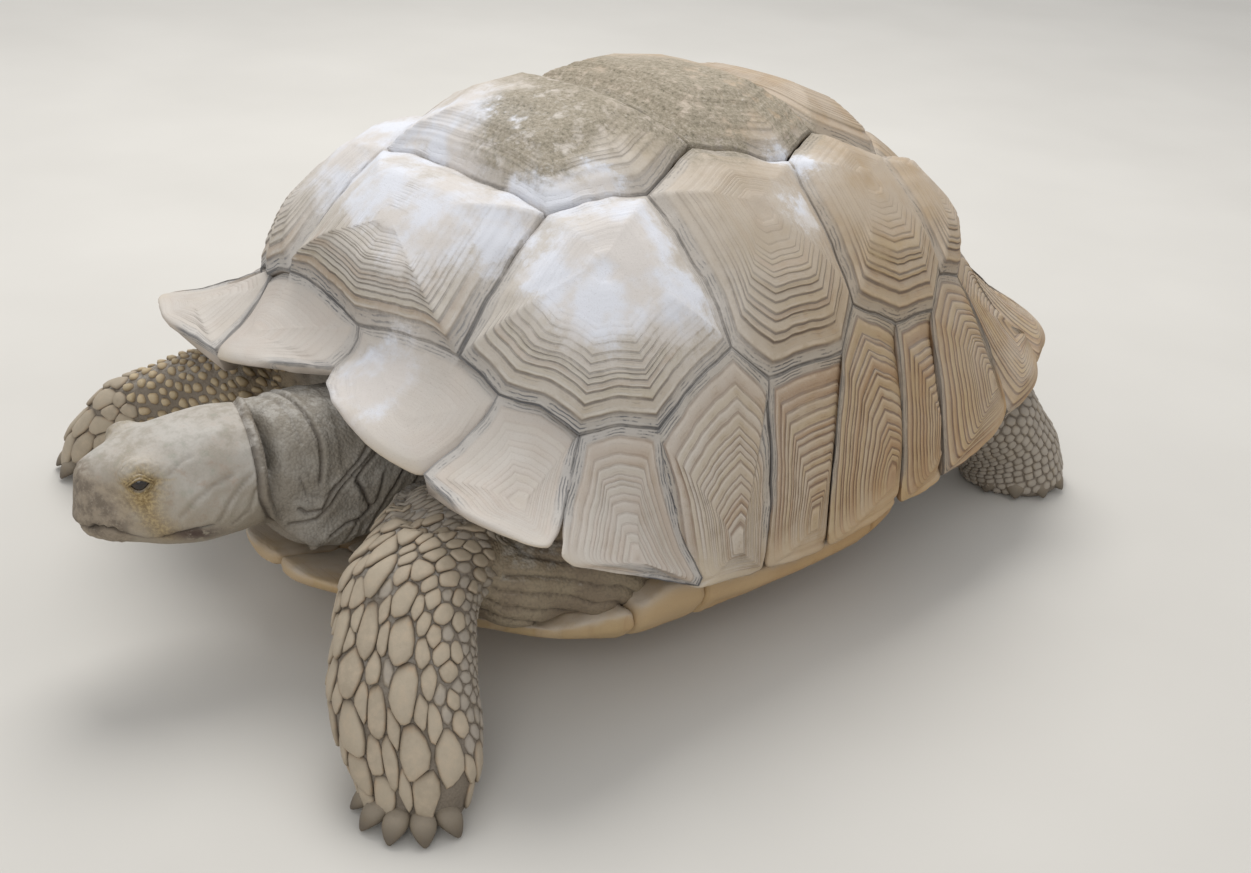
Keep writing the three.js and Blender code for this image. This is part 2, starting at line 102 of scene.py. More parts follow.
def new_material(name):
    """An empty material, and the function that adds a node to it."""
    material = bpy.data.materials.new(name)
    material.use_nodes = True
    tree = material.node_tree
    tree.nodes.clear()

    def add(kind, inputs=(), out=0, stops=(), **settings):
        """Adds a node with its settings, values, links and colour stops, and returns one of its outputs."""
        made = tree.nodes.new("ShaderNode" + kind)
        for key, value in settings.items():
            setattr(made, key, value)
        for key, value in inputs.items() if isinstance(inputs, dict) else enumerate(inputs):
            if isinstance(value, bpy.types.NodeSocket):
                tree.links.new(value, made.inputs[key])
            else:
                made.inputs[key].default_value = linear(value) if isinstance(value, str) else value
        for _ in stops[2:]:
            made.color_ramp.elements.new(0.5)
        for (place, colour), element in zip(stops, made.color_ramp.elements if stops else ()):
            element.position = place
            element.color = linear(colour) if isinstance(colour, str) else [colour] * 3 + [1]
        return made.outputs[out] if made.outputs else None

    return material, add


def new_piece(name, mesh, material):
    """A finished piece, from a mesh or from a bmesh, which it makes smooth."""
    if isinstance(mesh, bmesh.types.BMesh):
        for face in mesh.faces:
            face.smooth = True
        work, mesh = mesh, bpy.data.meshes.new(name)
        work.to_mesh(mesh)
        work.free()
    mesh.materials.append(material)
    piece = bpy.data.objects.new(name, mesh)
    bpy.context.scene.collection.objects.link(piece)
    return piece


floor_mesh = bmesh.new()
bmesh.ops.create_grid(floor_mesh, x_segments=2, y_segments=2, size=8)
paint, add = new_material("matt_floor_paint")
spread = add("TexNoise", {"Vector": add("TexCoord", out="Object"), "Scale": 3.0, "Detail": 3.0})
tone = add("ValToRGB", (spread,), stops=[(0.3, "#cbc7bf"), (0.7, "#d1cdc5")])
add("OutputMaterial", {"Surface": add("BsdfPrincipled", {"Base Color": tone, "Roughness": 0.9})})
floor = new_piece("floor", floor_mesh, paint)
floor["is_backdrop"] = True

world = bpy.data.worlds.new("pale_surrounding")
bpy.context.scene.world = world
world.use_nodes = True
world.node_tree.nodes["Background"].inputs["Color"].default_value = linear("#f2f4f8")
world.node_tree.nodes["Background"].inputs["Strength"].default_value = 0.72

for lamp_name, lamp_place, size, power in (
    ("overhead_softbox", (-0.9, 0.7, 2.4), 1.6, 44),
    ("front_softbox", (1.6, -2.0, 1.6), 1.4, 12),
):
    lamp = bpy.data.objects.new(lamp_name, bpy.data.lights.new(lamp_name, "AREA"))
    lamp.data.shape = "DISK"
    lamp.data.size = size
    lamp.data.energy = power
    lamp.location = lamp_place
    lamp.rotation_euler = (Vector((0, 0, 0.1)) - Vector(lamp_place)).to_track_quat("-Z", "Y").to_euler()
    bpy.context.scene.collection.objects.link(lamp)


# ---------------------------------------------------------------- horn plates of the back
# Keratin scutes that lie edge to edge over the bone. Each has grown outwards year by year from a small
# old areola, so its face is a low stack of terraces, every one a copy of the plate's outline, with a
# narrow groove between two years. They are grown here in the same way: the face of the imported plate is
# extruded loop by loop from its seam in to the areola.
STEP = 0.0044           # between two points of an outline
SEAM_BAND = 0.0072      # this year's pale horn beside the seam
YEAR = 0.0046           # usual width of one year's ring
GROOVE_SHARE = 0.20     # of a year's width
AREOLA = 0.14           # of the plate's reach
RAISED = 0.0018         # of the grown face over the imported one
FILLED = 0.0060         # and how much more where dust or earth fills the seams
OVERLAP = 0.0010        # of neighbouring faces
EASING_ROUND = 26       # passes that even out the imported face's facets, round the plate
EASING_IN = 30          # and in towards the areola
# what each point of a plate carries: years of growth, way in from the seam, way out to the rim, the
# plate's own tone, and how far its rings are rubbed away
LAYERS = ("growth", "from_seam", "rim", "tone", "worn_flat")


def smooth_noise(points, size, seed):
    """Gentle noise between about -1 and 1 at each point, for waves of the given size."""
    shift = Vector((seed * 7.31, seed * 3.17, seed * 5.53))
    return np.array([noise.noise(Vector(p) / size + shift) for p in points]) * 1.6


def soft_step(low, high, value):
    """0 at low and 1 at high, with an even swing between them."""
    share = np.clip((value - low) / (high - low), 0, 1)
    return share * share * (3 - 2 * share)


def merged_copy(node):
    """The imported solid's mesh with its loose triangles joined."""
    work = bmesh.new()
    work.from_mesh(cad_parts[node].data)
    bmesh.ops.remove_doubles(work, verts=work.verts, dist=2e-5)
    return work


def soften(work, verts, times=1):
    """Evens out a part of a mesh."""
    every_way = {"use_axis_x": True, "use_axis_y": True, "use_axis_z": True}
    for _ in range(times):
        bmesh.ops.smooth_vert(work, verts=verts, factor=0.5, **every_way)


def year_loops(reach, years, dice):
    """Where the loops lie, as (share out from the areola, growth in years, height) from the seam in."""
    band = SEAM_BAND / reach
    loops = [(1 - 0.3 * band, -0.7, -0.3), (1 - 0.55 * band, -0.45, -1.0), (1 - 0.8 * band, -0.2, -0.2)]
    widths = [dice.uniform(0.5, 1.5) for _ in range(years)]
    widths[0] = 1.9
    scale = (1 - band - AREOLA) / sum(widths)
    out = 1 - band
    for year, width in enumerate(widths):
        width *= scale
        for share, height in ((0, -1.0), (GROOVE_SHARE, 0.15), (0.5, 0.4), (0.84, 0.0)):
            loops.append((out - share * width, year + share, height))
        out -= width
    for share, growth, height in ((1, 0, -0.8), (0.9, 0.15, 0.1), (0.6, 0.4, 0.2), (0.3, 0.7, 0.2)):
        loops.append((share * AREOLA, years + growth, height))
    return loops


# Chalky dust lies on the shoulders and trodden earth on the flat of the back; both fill the rings and
# the seams. Each patch is its middle and the radii where it is full and where it ends.
CHALK = (
    ((0.085, -0.176, 0.322), 0.022, 0.066), ((0.020, -0.175, 0.322), 0.015, 0.050),
    ((0.028, -0.104, 0.361), 0.024, 0.066), ((-0.049, -0.125, 0.326), 0.035, 0.085),
    ((0.125, -0.122, 0.325), 0.012, 0.040), ((0.146, -0.110, 0.330), 0.014, 0.042),
    ((0.153, -0.084, 0.347), 0.006, 0.026), ((0.215, -0.132, 0.305), 0.028, 0.068),
    ((0.191, -0.151, 0.307), 0.012, 0.040), ((0.201, -0.103, 0.325), 0.020, 0.050),
    ((0.247, -0.092, 0.289), 0.010, 0.050), ((0.135, -0.155, 0.320), 0.008, 0.040),
    ((0.183, 0.094, 0.336), 0.004, 0.026), ((0.227, 0.056, 0.319), 0.003, 0.024),
    ((0.101, -0.240, 0.218), 0.010, 0.050),
)
EARTH = (
    ((0.083, -0.070, 0.374), 0.040, 0.070), ((0.083, 0.032, 0.380), 0.070, 0.115),
    ((0.155, 0.043, 0.356), 0.010, 0.040), ((0.122, -0.104, 0.352), 0.006, 0.024),
    ((0.136, 0.119, 0.364), 0.020, 0.060), ((0.030, 0.02, 0.375), 0.05, 0.09),
)


def cover_at(points):
    """How thickly chalk or earth lies at each point, 0 to 1."""
    cover = np.zeros(points.shape[:-1])
    for centre, full, end in CHALK + EARTH:
        gap = np.linalg.norm(points - np.array(centre), axis=-1)
        cover = np.maximum(cover, 1 - soft_step(full, end, gap))
    return cover


def round_rim(work, out_way, start, depth, rim, passes):
    """The free edge of a marginal plate eased into the thick rounded lip of the shell."""
    for length in (0.010, 0.006):
        coarse = [e for e in work.edges if e.calc_length() > length and max(v[rim] for v in e.verts) > 0.55]
        bmesh.ops.subdivide_edges(work, edges=coarse, cuts=1)
        bmesh.ops.triangulate(work, faces=[f for f in work.faces if len(f.verts) > 4])
    for vert in work.verts:
        vert[rim] = min(1, max(0, (vert.co.dot(out_way) - start) / depth))
    for least in np.linspace(0.64, 0.86, passes):
        soften(work, [v for v in work.verts if v[rim] > least])
    lost = start + depth - max(v.co.dot(out_way) for v in work.verts)
    for vert in work.verts:  # smoothing draws the lip in, so it is let out again
        vert.co += out_way * 0.75 * lost * float(soft_step(0.6, 0.9, vert[rim]))


def grow_plate(node, material, centre_shift=(0, 0), relief=0.0007, out_way=None, worn_flat=0.0,
               worn_high=0.0, passes=18, steepest=0.28, deeper=0.0, seed=1):
    """A plate's face regrown ring by ring. centre_shift moves the areola along and across the plate, in
    shares of its half-size; out_way, for a marginal, is the way from its seam out to its rim; worn_flat
    is how far the rings have been rubbed away, and worn_high how far on the plate's upper part; passes
    is how often a marginal's free edge is smoothed, steepest how upright the faces regrown may be, and
    deeper how far the underside is let down along the seam with the costal, where the new face sinks."""
    dice = random.Random(seed)
    work = merged_copy(node)
    tree = BVHTree.FromBMesh(work)
    work.normal_update()
    low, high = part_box(node)
    middle = (low + high) / 2
    axis = Vector((MIDLINE, middle.y * 0.75, 0.06)) if out_way is None else middle - out_way
    facing = (middle - axis).normalized()
    for _ in range(3):
        total = Vector()
        for f in work.faces:
            if f.normal.dot(facing) > max(0.3, steepest):
                total += f.normal * f.calc_area()
        facing = total.normalized()
    if out_way is None:
        poles = sorted(work.verts, key=lambda v: len(v.link_edges))[-2:]
        inside = {min(poles, key=lambda v: v.co.dot(facing))}
        for _ in range(2):
            inside |= {e.other_vert(v) for v in inside for e in v.link_edges}
        face = [f for f in work.faces if not inside.intersection(f.verts)]
    else:
        face = [f for f in work.faces if f.normal.dot(facing) > steepest]
    bmesh.ops.dissolve_faces(work, faces=face)
    cap = max(work.faces, key=lambda f: len(f.verts))
    for edge in list(cap.edges):
        cuts = round(edge.calc_length() / STEP) - 1
        if cuts > 0:
            bmesh.ops.subdivide_edges(work, edges=[edge], cuts=cuts)
    if deeper:
        on_face = set(cap.verts)
        for vert in work.verts:
            if vert not in on_face and (vert.co - middle).dot(out_way) < 0:
                vert.co -= facing * deeper

    # the seam wanders, in step with its neighbours', and lies higher where dust or earth fills it
    outline = np.array([loop.vert.co for loop in cap.loops])
    for size, depth in ((0.034, 0.0011), (0.010, 0.0004)):
        outline += np.array([smooth_noise(outline, size, 50 + axis) for axis in range(3)]).T * depth
    outward = outline - outline.mean(0)
    outward /= np.linalg.norm(outward, axis=1)[:, None]
    buried = cover_at(outline)[:, None]
    outline += outward * OVERLAP + np.array(facing) * (RAISED + FILLED * buried)
    if out_way is not None:     # its inner edge goes up to the costal's
        run = outline @ np.array(out_way)
        inner_edge = 1 - soft_step(0.05, 0.4, (run - run.min()) / np.ptp(run))
        outline += inner_edge[:, None] * (np.array(facing) * 0.0012 - np.array(out_way) * 0.0018)
    for loop, place in zip(cap.loops, outline):
        loop.vert.co = place

    along = (out_way or Vector((0, 0, 1))).cross(facing).normalized()
    plate_axes = np.array([along, facing.cross(along), facing])
    flat = outline @ plate_axes.T
    middle = np.average(flat, axis=0)
    half = (flat.max(0) - flat.min(0)) / 2
    areola = middle[:2] + np.array(centre_shift) * half[:2]
    spoke = flat[:, :2] - areola
    reach = np.mean(np.linalg.norm(spoke, axis=1))
    years = max(4, round((1 - AREOLA) * reach / YEAR))
    loops = year_loops(reach, years, dice)

    # each loop as a share of the outline, with this year's band equally wide along every side
    high_over = flat[:, 2].max() + 0.05
    count = len(outline)
    edge_way = np.roll(flat[:, :2], -2, axis=0) - np.roll(flat[:, :2], 2, axis=0)
    near_side = np.abs(edge_way[:, 0] * spoke[:, 1] - edge_way[:, 1] * spoke[:, 0])
    near_side /= np.linalg.norm(edge_way, axis=1) + 1e-9
    for _ in range(5):
        near_side = (np.roll(near_side, 1) + 2 * near_side + np.roll(near_side, -1)) / 4
    mean_band = SEAM_BAND / reach
    band = np.clip(SEAM_BAND / near_side, 0, 0.36)[:, None]
    shares = np.array([s for s, _, _ in loops])[None, :]
    inner = AREOLA + (shares - AREOLA) * (1 - band - AREOLA) / (1 - mean_band - AREOLA)
    inner = np.where(shares > AREOLA, inner, shares)
    shares = np.where(shares > 1 - 0.99 * mean_band, 1 - (1 - shares) / mean_band * band, inner)

    # places of all loops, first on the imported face, then eased and given the year rings' relief
    spots = areola + spoke[:, None] * shares[:, :, None]
    world = np.concatenate([spots, np.full((count, len(loops), 1), middle[2])], axis=2) @ plate_axes
    wave = smooth_noise(world.reshape(-1, 3), 0.03, seed).reshape(count, -1)
    wave += 0.5 * smooth_noise(world.reshape(-1, 3), 0.009, seed + 9).reshape(count, -1)
    fade = soft_step(0, 0.2, 1 - shares) * (0.2 + 0.8 * shares)
    waviness = 0.16 if out_way is None else 0.07
    spots += spoke[:, None] * (waviness * YEAR / reach * wave * fade)[..., None]
    heights = np.empty((count, len(loops)))
    for i in range(count):
        for k in range(len(loops)):
            start = Vector(plate_axes.T @ np.array([*spots[i, k], high_over]))
            hit = tree.ray_cast(start, -facing)[0]
            heights[i, k] = hit.dot(facing) if hit else flat[i, 2]
    for _ in range(EASING_ROUND):
        heights = (np.roll(heights, 1, 0) + 2 * heights + np.roll(heights, -1, 0)) / 4
    padded = np.concatenate([flat[:, 2:3], heights], axis=1)
    for _ in range(EASING_IN):
        padded[:, 1:-1] = (padded[:, :-2] + 2 * padded[:, 1:-1] + padded[:, 2:]) / 4
        padded[:, -1] = padded[:, -1].mean()
    heights = padded[:, 1:]

    out_share = np.zeros((count, len(loops)))
    world = np.concatenate([spots, heights[..., None]], axis=2) @ plate_axes
    if out_way is not None:
        edge_run = outline @ np.array(out_way)
        rim_start, rim_depth = edge_run.min(), edge_run.max() - edge_run.min()
        out_share = (world @ np.array(out_way) - rim_start) / rim_depth
    rubbed = np.maximum(worn_flat, cover_at(world))
    rise = (world[..., 2] - low.z) / (high.z - low.z)
    rubbed = np.maximum(rubbed, worn_high * soft_step(0.38, 0.72, rise))
    worn = (0.65 + 0.35 * wave.clip(-1, 1)) * (1 - 0.96 * rubbed)
    steps = np.array([h for _, _, h in loops])[None, :]
    heights += steps * relief * worn * (1 - soft_step(0.72, 0.93, out_share))
    places = np.concatenate([spots, heights[..., None]], axis=2) @ plate_axes

    growth, from_seam, rim, tone, flat_worn = (work.verts.layers.float.new(key) for key in LAYERS)
    for vert in work.verts:
        vert[growth] = -1.0
        vert[from_seam] = 0.02
        vert[flat_worn] = worn_flat
        if out_way is not None:
            vert[rim] = min(1, max(0, (vert.co.dot(out_way) - rim_start) / rim_depth))
    for loop in cap.loops:
        loop.vert[from_seam] = 0
    for k, (_, grown, _) in enumerate(loops):
        cap = bmesh.ops.extrude_discrete_faces(work, faces=[cap])["faces"][0]
        for i, loop in enumerate(cap.loops):
            vert = loop.vert
            vert.co = places[i, k]
            vert[growth] = grown
            vert[from_seam] = (1 - shares[i, k]) * near_side[i]
            vert[rim] = out_share[i, k]
            vert[flat_worn] = rubbed[i, k]
    top = bmesh.ops.poke(work, faces=[cap])["verts"][0]
    top.co = places[:, -1].mean(0)
    top[growth] = loops[-1][1] + 0.3
    top[from_seam] = reach
    top[rim] = out_share[:, -1].mean()
    top[flat_worn] = rubbed[:, -1].mean()
    if out_way is not None:
        round_rim(work, out_way, rim_start, rim_depth, rim, passes)
    for vert in work.verts:
        vert[tone] = seed * 0.37 % 1
    piece = new_piece("horn_" + node, work, material)
    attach(piece, "root")
    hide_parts(node)


# Keratin horn, grown in yearly layers and worn dull by sand: matt, grey-beige over the shoulders and
# tanner behind, each year with a dark groove, part darker horn and part painted shade, and a paler ridge,
# a painted highlight. Slate lines of new growth follow the seams, chalky dust lies on the shoulders and
# trodden earth on the flat of the back.
TIMES, TIMES_PLUS = {"operation": "MULTIPLY"}, {"operation": "MULTIPLY_ADD"}
PLUS, MINUS = {"operation": "ADD"}, {"operation": "SUBTRACT"}
SMOOTH = {"interpolation_type": "SMOOTHSTEP"}
COAT = {"data_type": "RGBA", "out": 2}


def coated(add, coats):
    """Coats of colour, one over the other. Each is how much of it shows, as factors that are a number, a
    value, or (value, where it starts, where it is full), and its colour, or (factor, colour, colour)."""
    def product(factors):
        share = None
        for factor in factors:
            if isinstance(factor, tuple):
                factor = add("MapRange", factor, **SMOOTH)
            share = factor if share is None else add("Math", (share, factor), **TIMES)
        return share

    under = None
    for factors, coat in coats:
        if isinstance(coat, tuple):
            coat = add("Mix", {0: product(coat[:1]), 6: coat[1], 7: coat[2]}, **COAT)
        under = coat if under is None else add("Mix", {0: product(factors), 6: under, 7: coat}, **COAT)
    return under


def weathered_horn(name, worn_face, dark, pale):
    """worn_face; dark for the grooves, part darker horn and part painted shade; pale for the ridges, a
    painted highlight: each (beside the shoulders, behind).
    """
    material, add = new_material(name)
    where = add("TexCoord", out="Object")
    broad, patchy, grain, fleck, dusting, speckle = (
        add("TexNoise", {"Vector": where, "Scale": scale, "Detail": detail, "Roughness": rough})
        for scale, detail, rough in (
            (22.0, 4.0, 0.6), (75.0, 5.0, 0.65), (900.0, 3.0, 0.7),
            (62.0, 6.0, 0.72), (140.0, 7.0, 0.75), (320.0, 4.0, 0.75),
        )
    )
    growth, from_seam, rim, tone, worn_flat = (
        add("Attribute", attribute_name=key, out="Fac") for key in LAYERS)
    kept = add("Math", (1.0, worn_flat), **MINUS)
    y = add("SeparateXYZ", (where,), out="Y")
    up = add("SeparateXYZ", (add("NewGeometry", out="Normal"),), out="Z")
    rearward = add("MapRange", (add("Math", (broad, 0.16, y), **TIMES_PLUS), -0.10, 0.22), **SMOOTH)
    in_year = add("Math", (growth,), operation="FRACT")
    year = add("Math", (tone, 37.0, add("Math", (growth,), operation="FLOOR")), **TIMES_PLUS)
    year_tone = add("TexWhiteNoise", {"W": year}, noise_dimensions="1D")

    # years: each its own tone, with a dark groove, part darker horn and part painted shade, a browner outer
    # part, part brown horn and part painted shade, and a paler ridge, a painted highlight
    front_bands, rear_bands = (
        add("ValToRGB", (year_tone,), stops=list(zip((0, 0.35, 0.62, 0.8, 1), colours)))
        for colours in (
            ("#b5a88b", "#ada08c", "#bfb8ad", "#a1866a", "#aa9478"),
            ("#b49a6e", "#a6885f", "#b39f80", "#98724c", "#a8865a"),
        )
    )
    groove, shade, ridge = (add("ValToRGB", (in_year,), stops=stops) for stops in (
        ((0, 1.0), (0.09, 1.0), (0.2, 0.0), (0.9, 0.0), (0.98, 1.0)),
        ((0.55, 0.0), (0.9, 1.0)),
        ((0.14, 0.0), (0.26, 1.0), (0.38, 0.7), (0.55, 0.0)),
    ))
    lines = add("Math", (growth, 3.0, add("Math", (patchy, 1.2), **TIMES)), **TIMES_PLUS)
    lines = add("MapRange", (add("Math", (lines,), operation="FRACT"), 0.72, 0.95), **SMOOTH)
    lines = add("Math", (lines, add("MapRange", (patchy, 0.42, 0.6), **SMOOTH)), **TIMES)
    worn = add("Math", (add("MapRange", (rim, 0.74, 0.95), **SMOOTH), 0.9), **TIMES)
    worn = add("Math", (1.0, worn), **MINUS)
    worn = add("Math", (worn, add("Math", (kept, 0.95, 0.05), **TIMES_PLUS)), **TIMES)
    strength = add("Math", (worn, add("MapRange", (broad, 0.22, 0.5), **SMOOTH)), **TIMES)

    # this year's horn along the seams, with its thin parallel slate lines
    seam_side, crease = (
        add("Math", [add("MapRange", limits, **SMOOTH) for limits in pair], **TIMES) for pair in (
            ((from_seam, 0.0090, 0.0052), (rim, 0.8, 0.66)),
            ((from_seam, 0.0022, 0.0006), (broad, 0.3, 0.5)),
        ))
    slate = add("Math", (from_seam, 430.0, add("Math", (broad, 3.5), **TIMES)), **TIMES_PLUS)
    slate = add("MapRange", (add("Math", (slate,), operation="FRACT"), 0.52, 0.8), **SMOOTH)
    slate = add("Math", (slate, add("MapRange", (fleck, 0.44, 0.56), **SMOOTH)), **TIMES)
    slate = add("Math", (slate, crease), operation="MAXIMUM")

    # chalky dust and trodden earth
    stir = add("TexNoise", {"Vector": where, "Scale": 26.0, "Detail": 6.0, "Roughness": 0.7}, out="Color")
    stir = add("VectorMath", (stir, (0.5, 0.5, 0.5)), **MINUS)
    stir = add("VectorMath", (stir, (0.075, 0.075, 0.075), where), **TIMES_PLUS)
    lying = []
    for patches, spread in ((CHALK, 1.8), (CHALK, 1.0), (EARTH, 1.0)):
        cover = 0.0
        for centre, near, far in patches:
            gap = add("VectorMath", (stir, centre), operation="DISTANCE", out="Value")
            patch = add("MapRange", (gap, far * spread, near), **SMOOTH)
            cover = add("Math", (cover, patch), operation="MAXIMUM")
        lying.append(cover)
    haze, chalk, earth_share = lying
    chalk = add("Math", (chalk, add("Math", (dusting, 0.55, -0.27), **TIMES_PLUS)), **PLUS)
    open_groove = add("Math", (groove, add("Math", (kept, 0.3), **TIMES)), **TIMES)
    chalk = add("MapRange", (add("Math", (chalk, open_groove), **MINUS), 0.05, 0.9), **SMOOTH)
    chalk = add("Math", (chalk, 0.97), **TIMES)
    earth = ((0.32, "#5f5a48"), (0.42, "#8d8470"), (0.58, "#a79b88"), (0.72, "#c3bcae"))
    earth = add("ValToRGB", (speckle,), stops=earth)
    earth_share = add("Math", (earth_share, add("MapRange", (patchy, 0.32, 0.5), **SMOOTH)), **TIMES)
    veil = add("Math", (add("MapRange", (broad, 0.3, 0.62), **SMOOTH), 0.45, 0.12), **TIMES_PLUS)
    dusty = add("Math", (add("MapRange", (dusting, 0.35, 0.62), **SMOOTH), 0.45, 0.42), **TIMES_PLUS)

    face = coated(add, (
        ((), (rearward, *worn_face)),
        ((add("Math", (kept, 0.7, 0.1), **TIMES_PLUS),), (rearward, front_bands, rear_bands)),
        (((patchy, 0.45, 0.68), kept, 0.5), (rearward, "#a3906f", "#a37c50")),
        ((lines, 0.30, worn), (rearward, *dark)),
        # painted highlight on the ridges
        ((ridge, 0.75, strength, (patchy, 0.3, 0.6)), (rearward, *pale)),
        # browner horn and painted shade on the outer part of each year, where it slopes into the groove
        ((shade, (year_tone, 0.35, 0.7), 0.65, strength), (rearward, "#937a62", "#8d6843")),
        # darker horn and painted shade in the grooves
        ((groove, 0.92, strength), (rearward, *dark)),
        ((seam_side, 0.7), (rearward, "#aeaaa5", "#a39787")),
        ((slate, seam_side, 0.85), (rearward, "#4c4f56", "#5c5349")),
        (((rim, 0.84, 0.97), 0.75), (rearward, "#c6b8a2", "#b2946c")),
        (((up, 0.0, 0.8), veil), (rearward, "#c8c2b9", "#beb2a2")),
        ((haze, dusty), "#cdc5bb"),
        ((chalk,), ((broad, 0.38, 0.60), "#d3ccc5", "#dcdde2")),
        ((earth_share, 0.9), earth),
        (((grain, 0.55, 0.75), 0.25), "#7c6c5a"),
    ))

    # relief finer than the mesh: grooves, lines, slate, grain, and the grains of the earth
    dirt = add("Math", (chalk, earth_share), operation="MAXIMUM")
    worn = add("Math", (worn, add("Math", (1.0, add("Math", (dirt, 0.8), **TIMES)), **MINUS)), **TIMES)
    ups = add("Math", (add("Math", (1.0, groove), **MINUS), 0.8), **TIMES)
    ups = add("Math", (ups, add("Math", (lines, 0.35), **TIMES)), **MINUS)
    ups = add("Math", (ups, worn), **TIMES)
    slate = add("Math", (slate, add("Math", (seam_side, 0.5), **TIMES)), **TIMES)
    ups = add("Math", (ups, slate), **MINUS)
    ups = add("Math", (ups, add("Math", (grain, 0.35), **TIMES)), **PLUS)
    earth_grains = add("Math", (add("Math", (speckle, earth_share), **TIMES), 1.6), **TIMES)
    ups = add("Math", (ups, earth_grains), **PLUS)
    bump = add("Bump", {"Height": ups, "Strength": 0.9, "Distance": 0.0007})
    dull = add("MapRange", {"Value": dirt, "To Min": 0.62, "To Max": 0.92})
    shader = add("BsdfPrincipled", {"Base Color": face, "Roughness": dull, "Normal": bump, "IOR": 1.54})
    add("OutputMaterial", {"Surface": shader})
    return material


back_horn = weathered_horn(
    "weathered_keratin_horn", ("#b4a999", "#ac9474"), ("#5f5348", "#604a35"), ("#d3cdc3", "#c4ac8b"))
edge_horn = weathered_horn(
    "sand_worn_keratin_rim", ("#c6bbb0", "#b0936c"), ("#86705f", "#6a4c33"), ("#d6cec5", "#c5a880"))

seeds = iter(range(1, 200))
for number in range(1, 6):
    worn_flat = 0.5 if number in (2, 3, 4) else 0.0
    grow_plate(f"vertebral_{number}", back_horn, worn_flat=worn_flat, worn_high=0.7, seed=next(seeds))
for hand in ("left", "right"):
    for number in range(1, 5):
        node = f"costal_{number}_{hand}"
        grow_plate(node, back_horn, centre_shift=(0, 0.34), worn_high=0.9, seed=next(seeds))
    for number in range(1, 12):
        node = f"marginal_{number}_{hand}"
        low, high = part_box(node)
        middle = (low + high) / 2
        on_bridge = 4 <= number <= 8
        outward = (middle.x - MIDLINE, (middle.y - 0.03) * 0.9, -0.12 if on_bridge else -0.03)
        rear_shift = (-0.22 if number < 4 else -0.35) * (1 if hand == "left" else -1)
        rubbed = {1: 0.97, 2: 0.86, 3: 0.55, 4: 0.25, 5: 0.1}.get(number, 0.0)
        grow_plate(
            node, edge_horn, centre_shift=(rear_shift, 0.42 if number < 4 else 0.55), relief=0.00045,
            out_way=Vector(outward).normalized(), worn_flat=rubbed, passes=4 if on_bridge else 18,
            steepest=0.4 if number == 2 else 0.28, deeper=0.012 if number == 2 else 0, seed=next(seeds))
out_way = Vector((0, 1, -0.2)).normalized()
grow_plate("supracaudal", edge_horn, centre_shift=(0, 0.4), out_way=out_way, seed=next(seeds))


# ---------------------------------------------------------------- horn plates of the belly
# Thick yellow-ochre scutes, flatter and smoother than the back's, rubbed by the ground. The bridge
# climbs to the side marginals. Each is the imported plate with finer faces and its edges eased.
belly_horn = weathered_horn(
    "ochre_keratin_of_the_belly", ("#b3966a", "#ad895a"), ("#9a7c52", "#8e6c44"), ("#c0a678", "#ba9a6a"))
for number, word in enumerate(("gular", "humeral", "pectoral", "abdominal", "femoral", "anal")):
    for hand in ("left", "right"):
        node = f"{word}_{hand}"
        work = merged_copy(node)
        low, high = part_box(node)
        longest = 0.007 if word == "gular" else 0.010
        for _ in range(5):
            long_edges = [e for e in work.edges if e.calc_length() > longest]
            bmesh.ops.subdivide_edges(work, edges=long_edges, cuts=1, use_grid_fill=True)
            bmesh.ops.triangulate(work, faces=[f for f in work.faces if len(f.verts) > 3])
        if word == "gular":  # plump, worn horns under the throat
            for _ in range(7):
                soften(work, [v for v in work.verts if v.co.y < high.y - 0.006])
        soften(work, work.verts, times=3)
        middle = (low + high) / 2
        middle.y = low.y + 0.65 * (high.y - low.y)
        half = np.maximum((np.array(high) - np.array(low)) / 2, 0.01)
        growth, from_seam, rim, tone, flat_worn = (work.verts.layers.float.new(key) for key in LAYERS)
        for vert in work.verts:
            aside, ahead = (vert.co.x - middle.x) / half[0], (vert.co.y - middle.y) / half[1]
            out = min(1, max(abs(aside) * 0.98, abs(ahead) * (0.75 if ahead < 0 else 1.4)))
            vert[growth] = (1 - out) * half[1] * 2 / 0.011 + 0.3
            vert[from_seam] = min(vert.co.y - low.y, high.y - vert.co.y, abs(vert.co.x - MIDLINE)) + 0.001
            vert[rim] = 0.80
            vert[tone] = number * 0.13
            vert[flat_worn] = 0.85
        piece = new_piece("horn_" + node, work, belly_horn)
        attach(piece, "root")
        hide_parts(node)


# ---------------------------------------------------------------- skin
# One hide over trunk, neck, head, legs and tail, slack where a standing tortoise's hide is slack: a
# lip of skin round the back of the head, long swags along the neck, and wrinkled pockets between the
# legs and the shell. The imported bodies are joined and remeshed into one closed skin, then folded.
FLESH = ["trunk", "neck", "head", "tail", "foreleg_left", "foreleg_right", "hindleg_left", "hindleg_right"]
HIDE_MESH = 0.0042      # between two points of the hide, before its finer places
EYE_BALL = 0.009        # radius
LID = 0.0016            # thickness of the skin first laid over it
EYES = {"eye_left": 1, "eye_right": -1}
CREASE_EVERY = 15       # mm between the long creases of a pocket
CREASE_DEPTH = 2.6      # mm


def spot(x, y, z):
    """A place in the animal's own millimetres: to its left, rearward and up from the shell's middle."""
    return Vector((MIDLINE + x / 1000, ORIGIN_Y + y / 1000, z / 1000))


def eye_centre(node):
    low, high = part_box(node)
    return (low + high) / 2


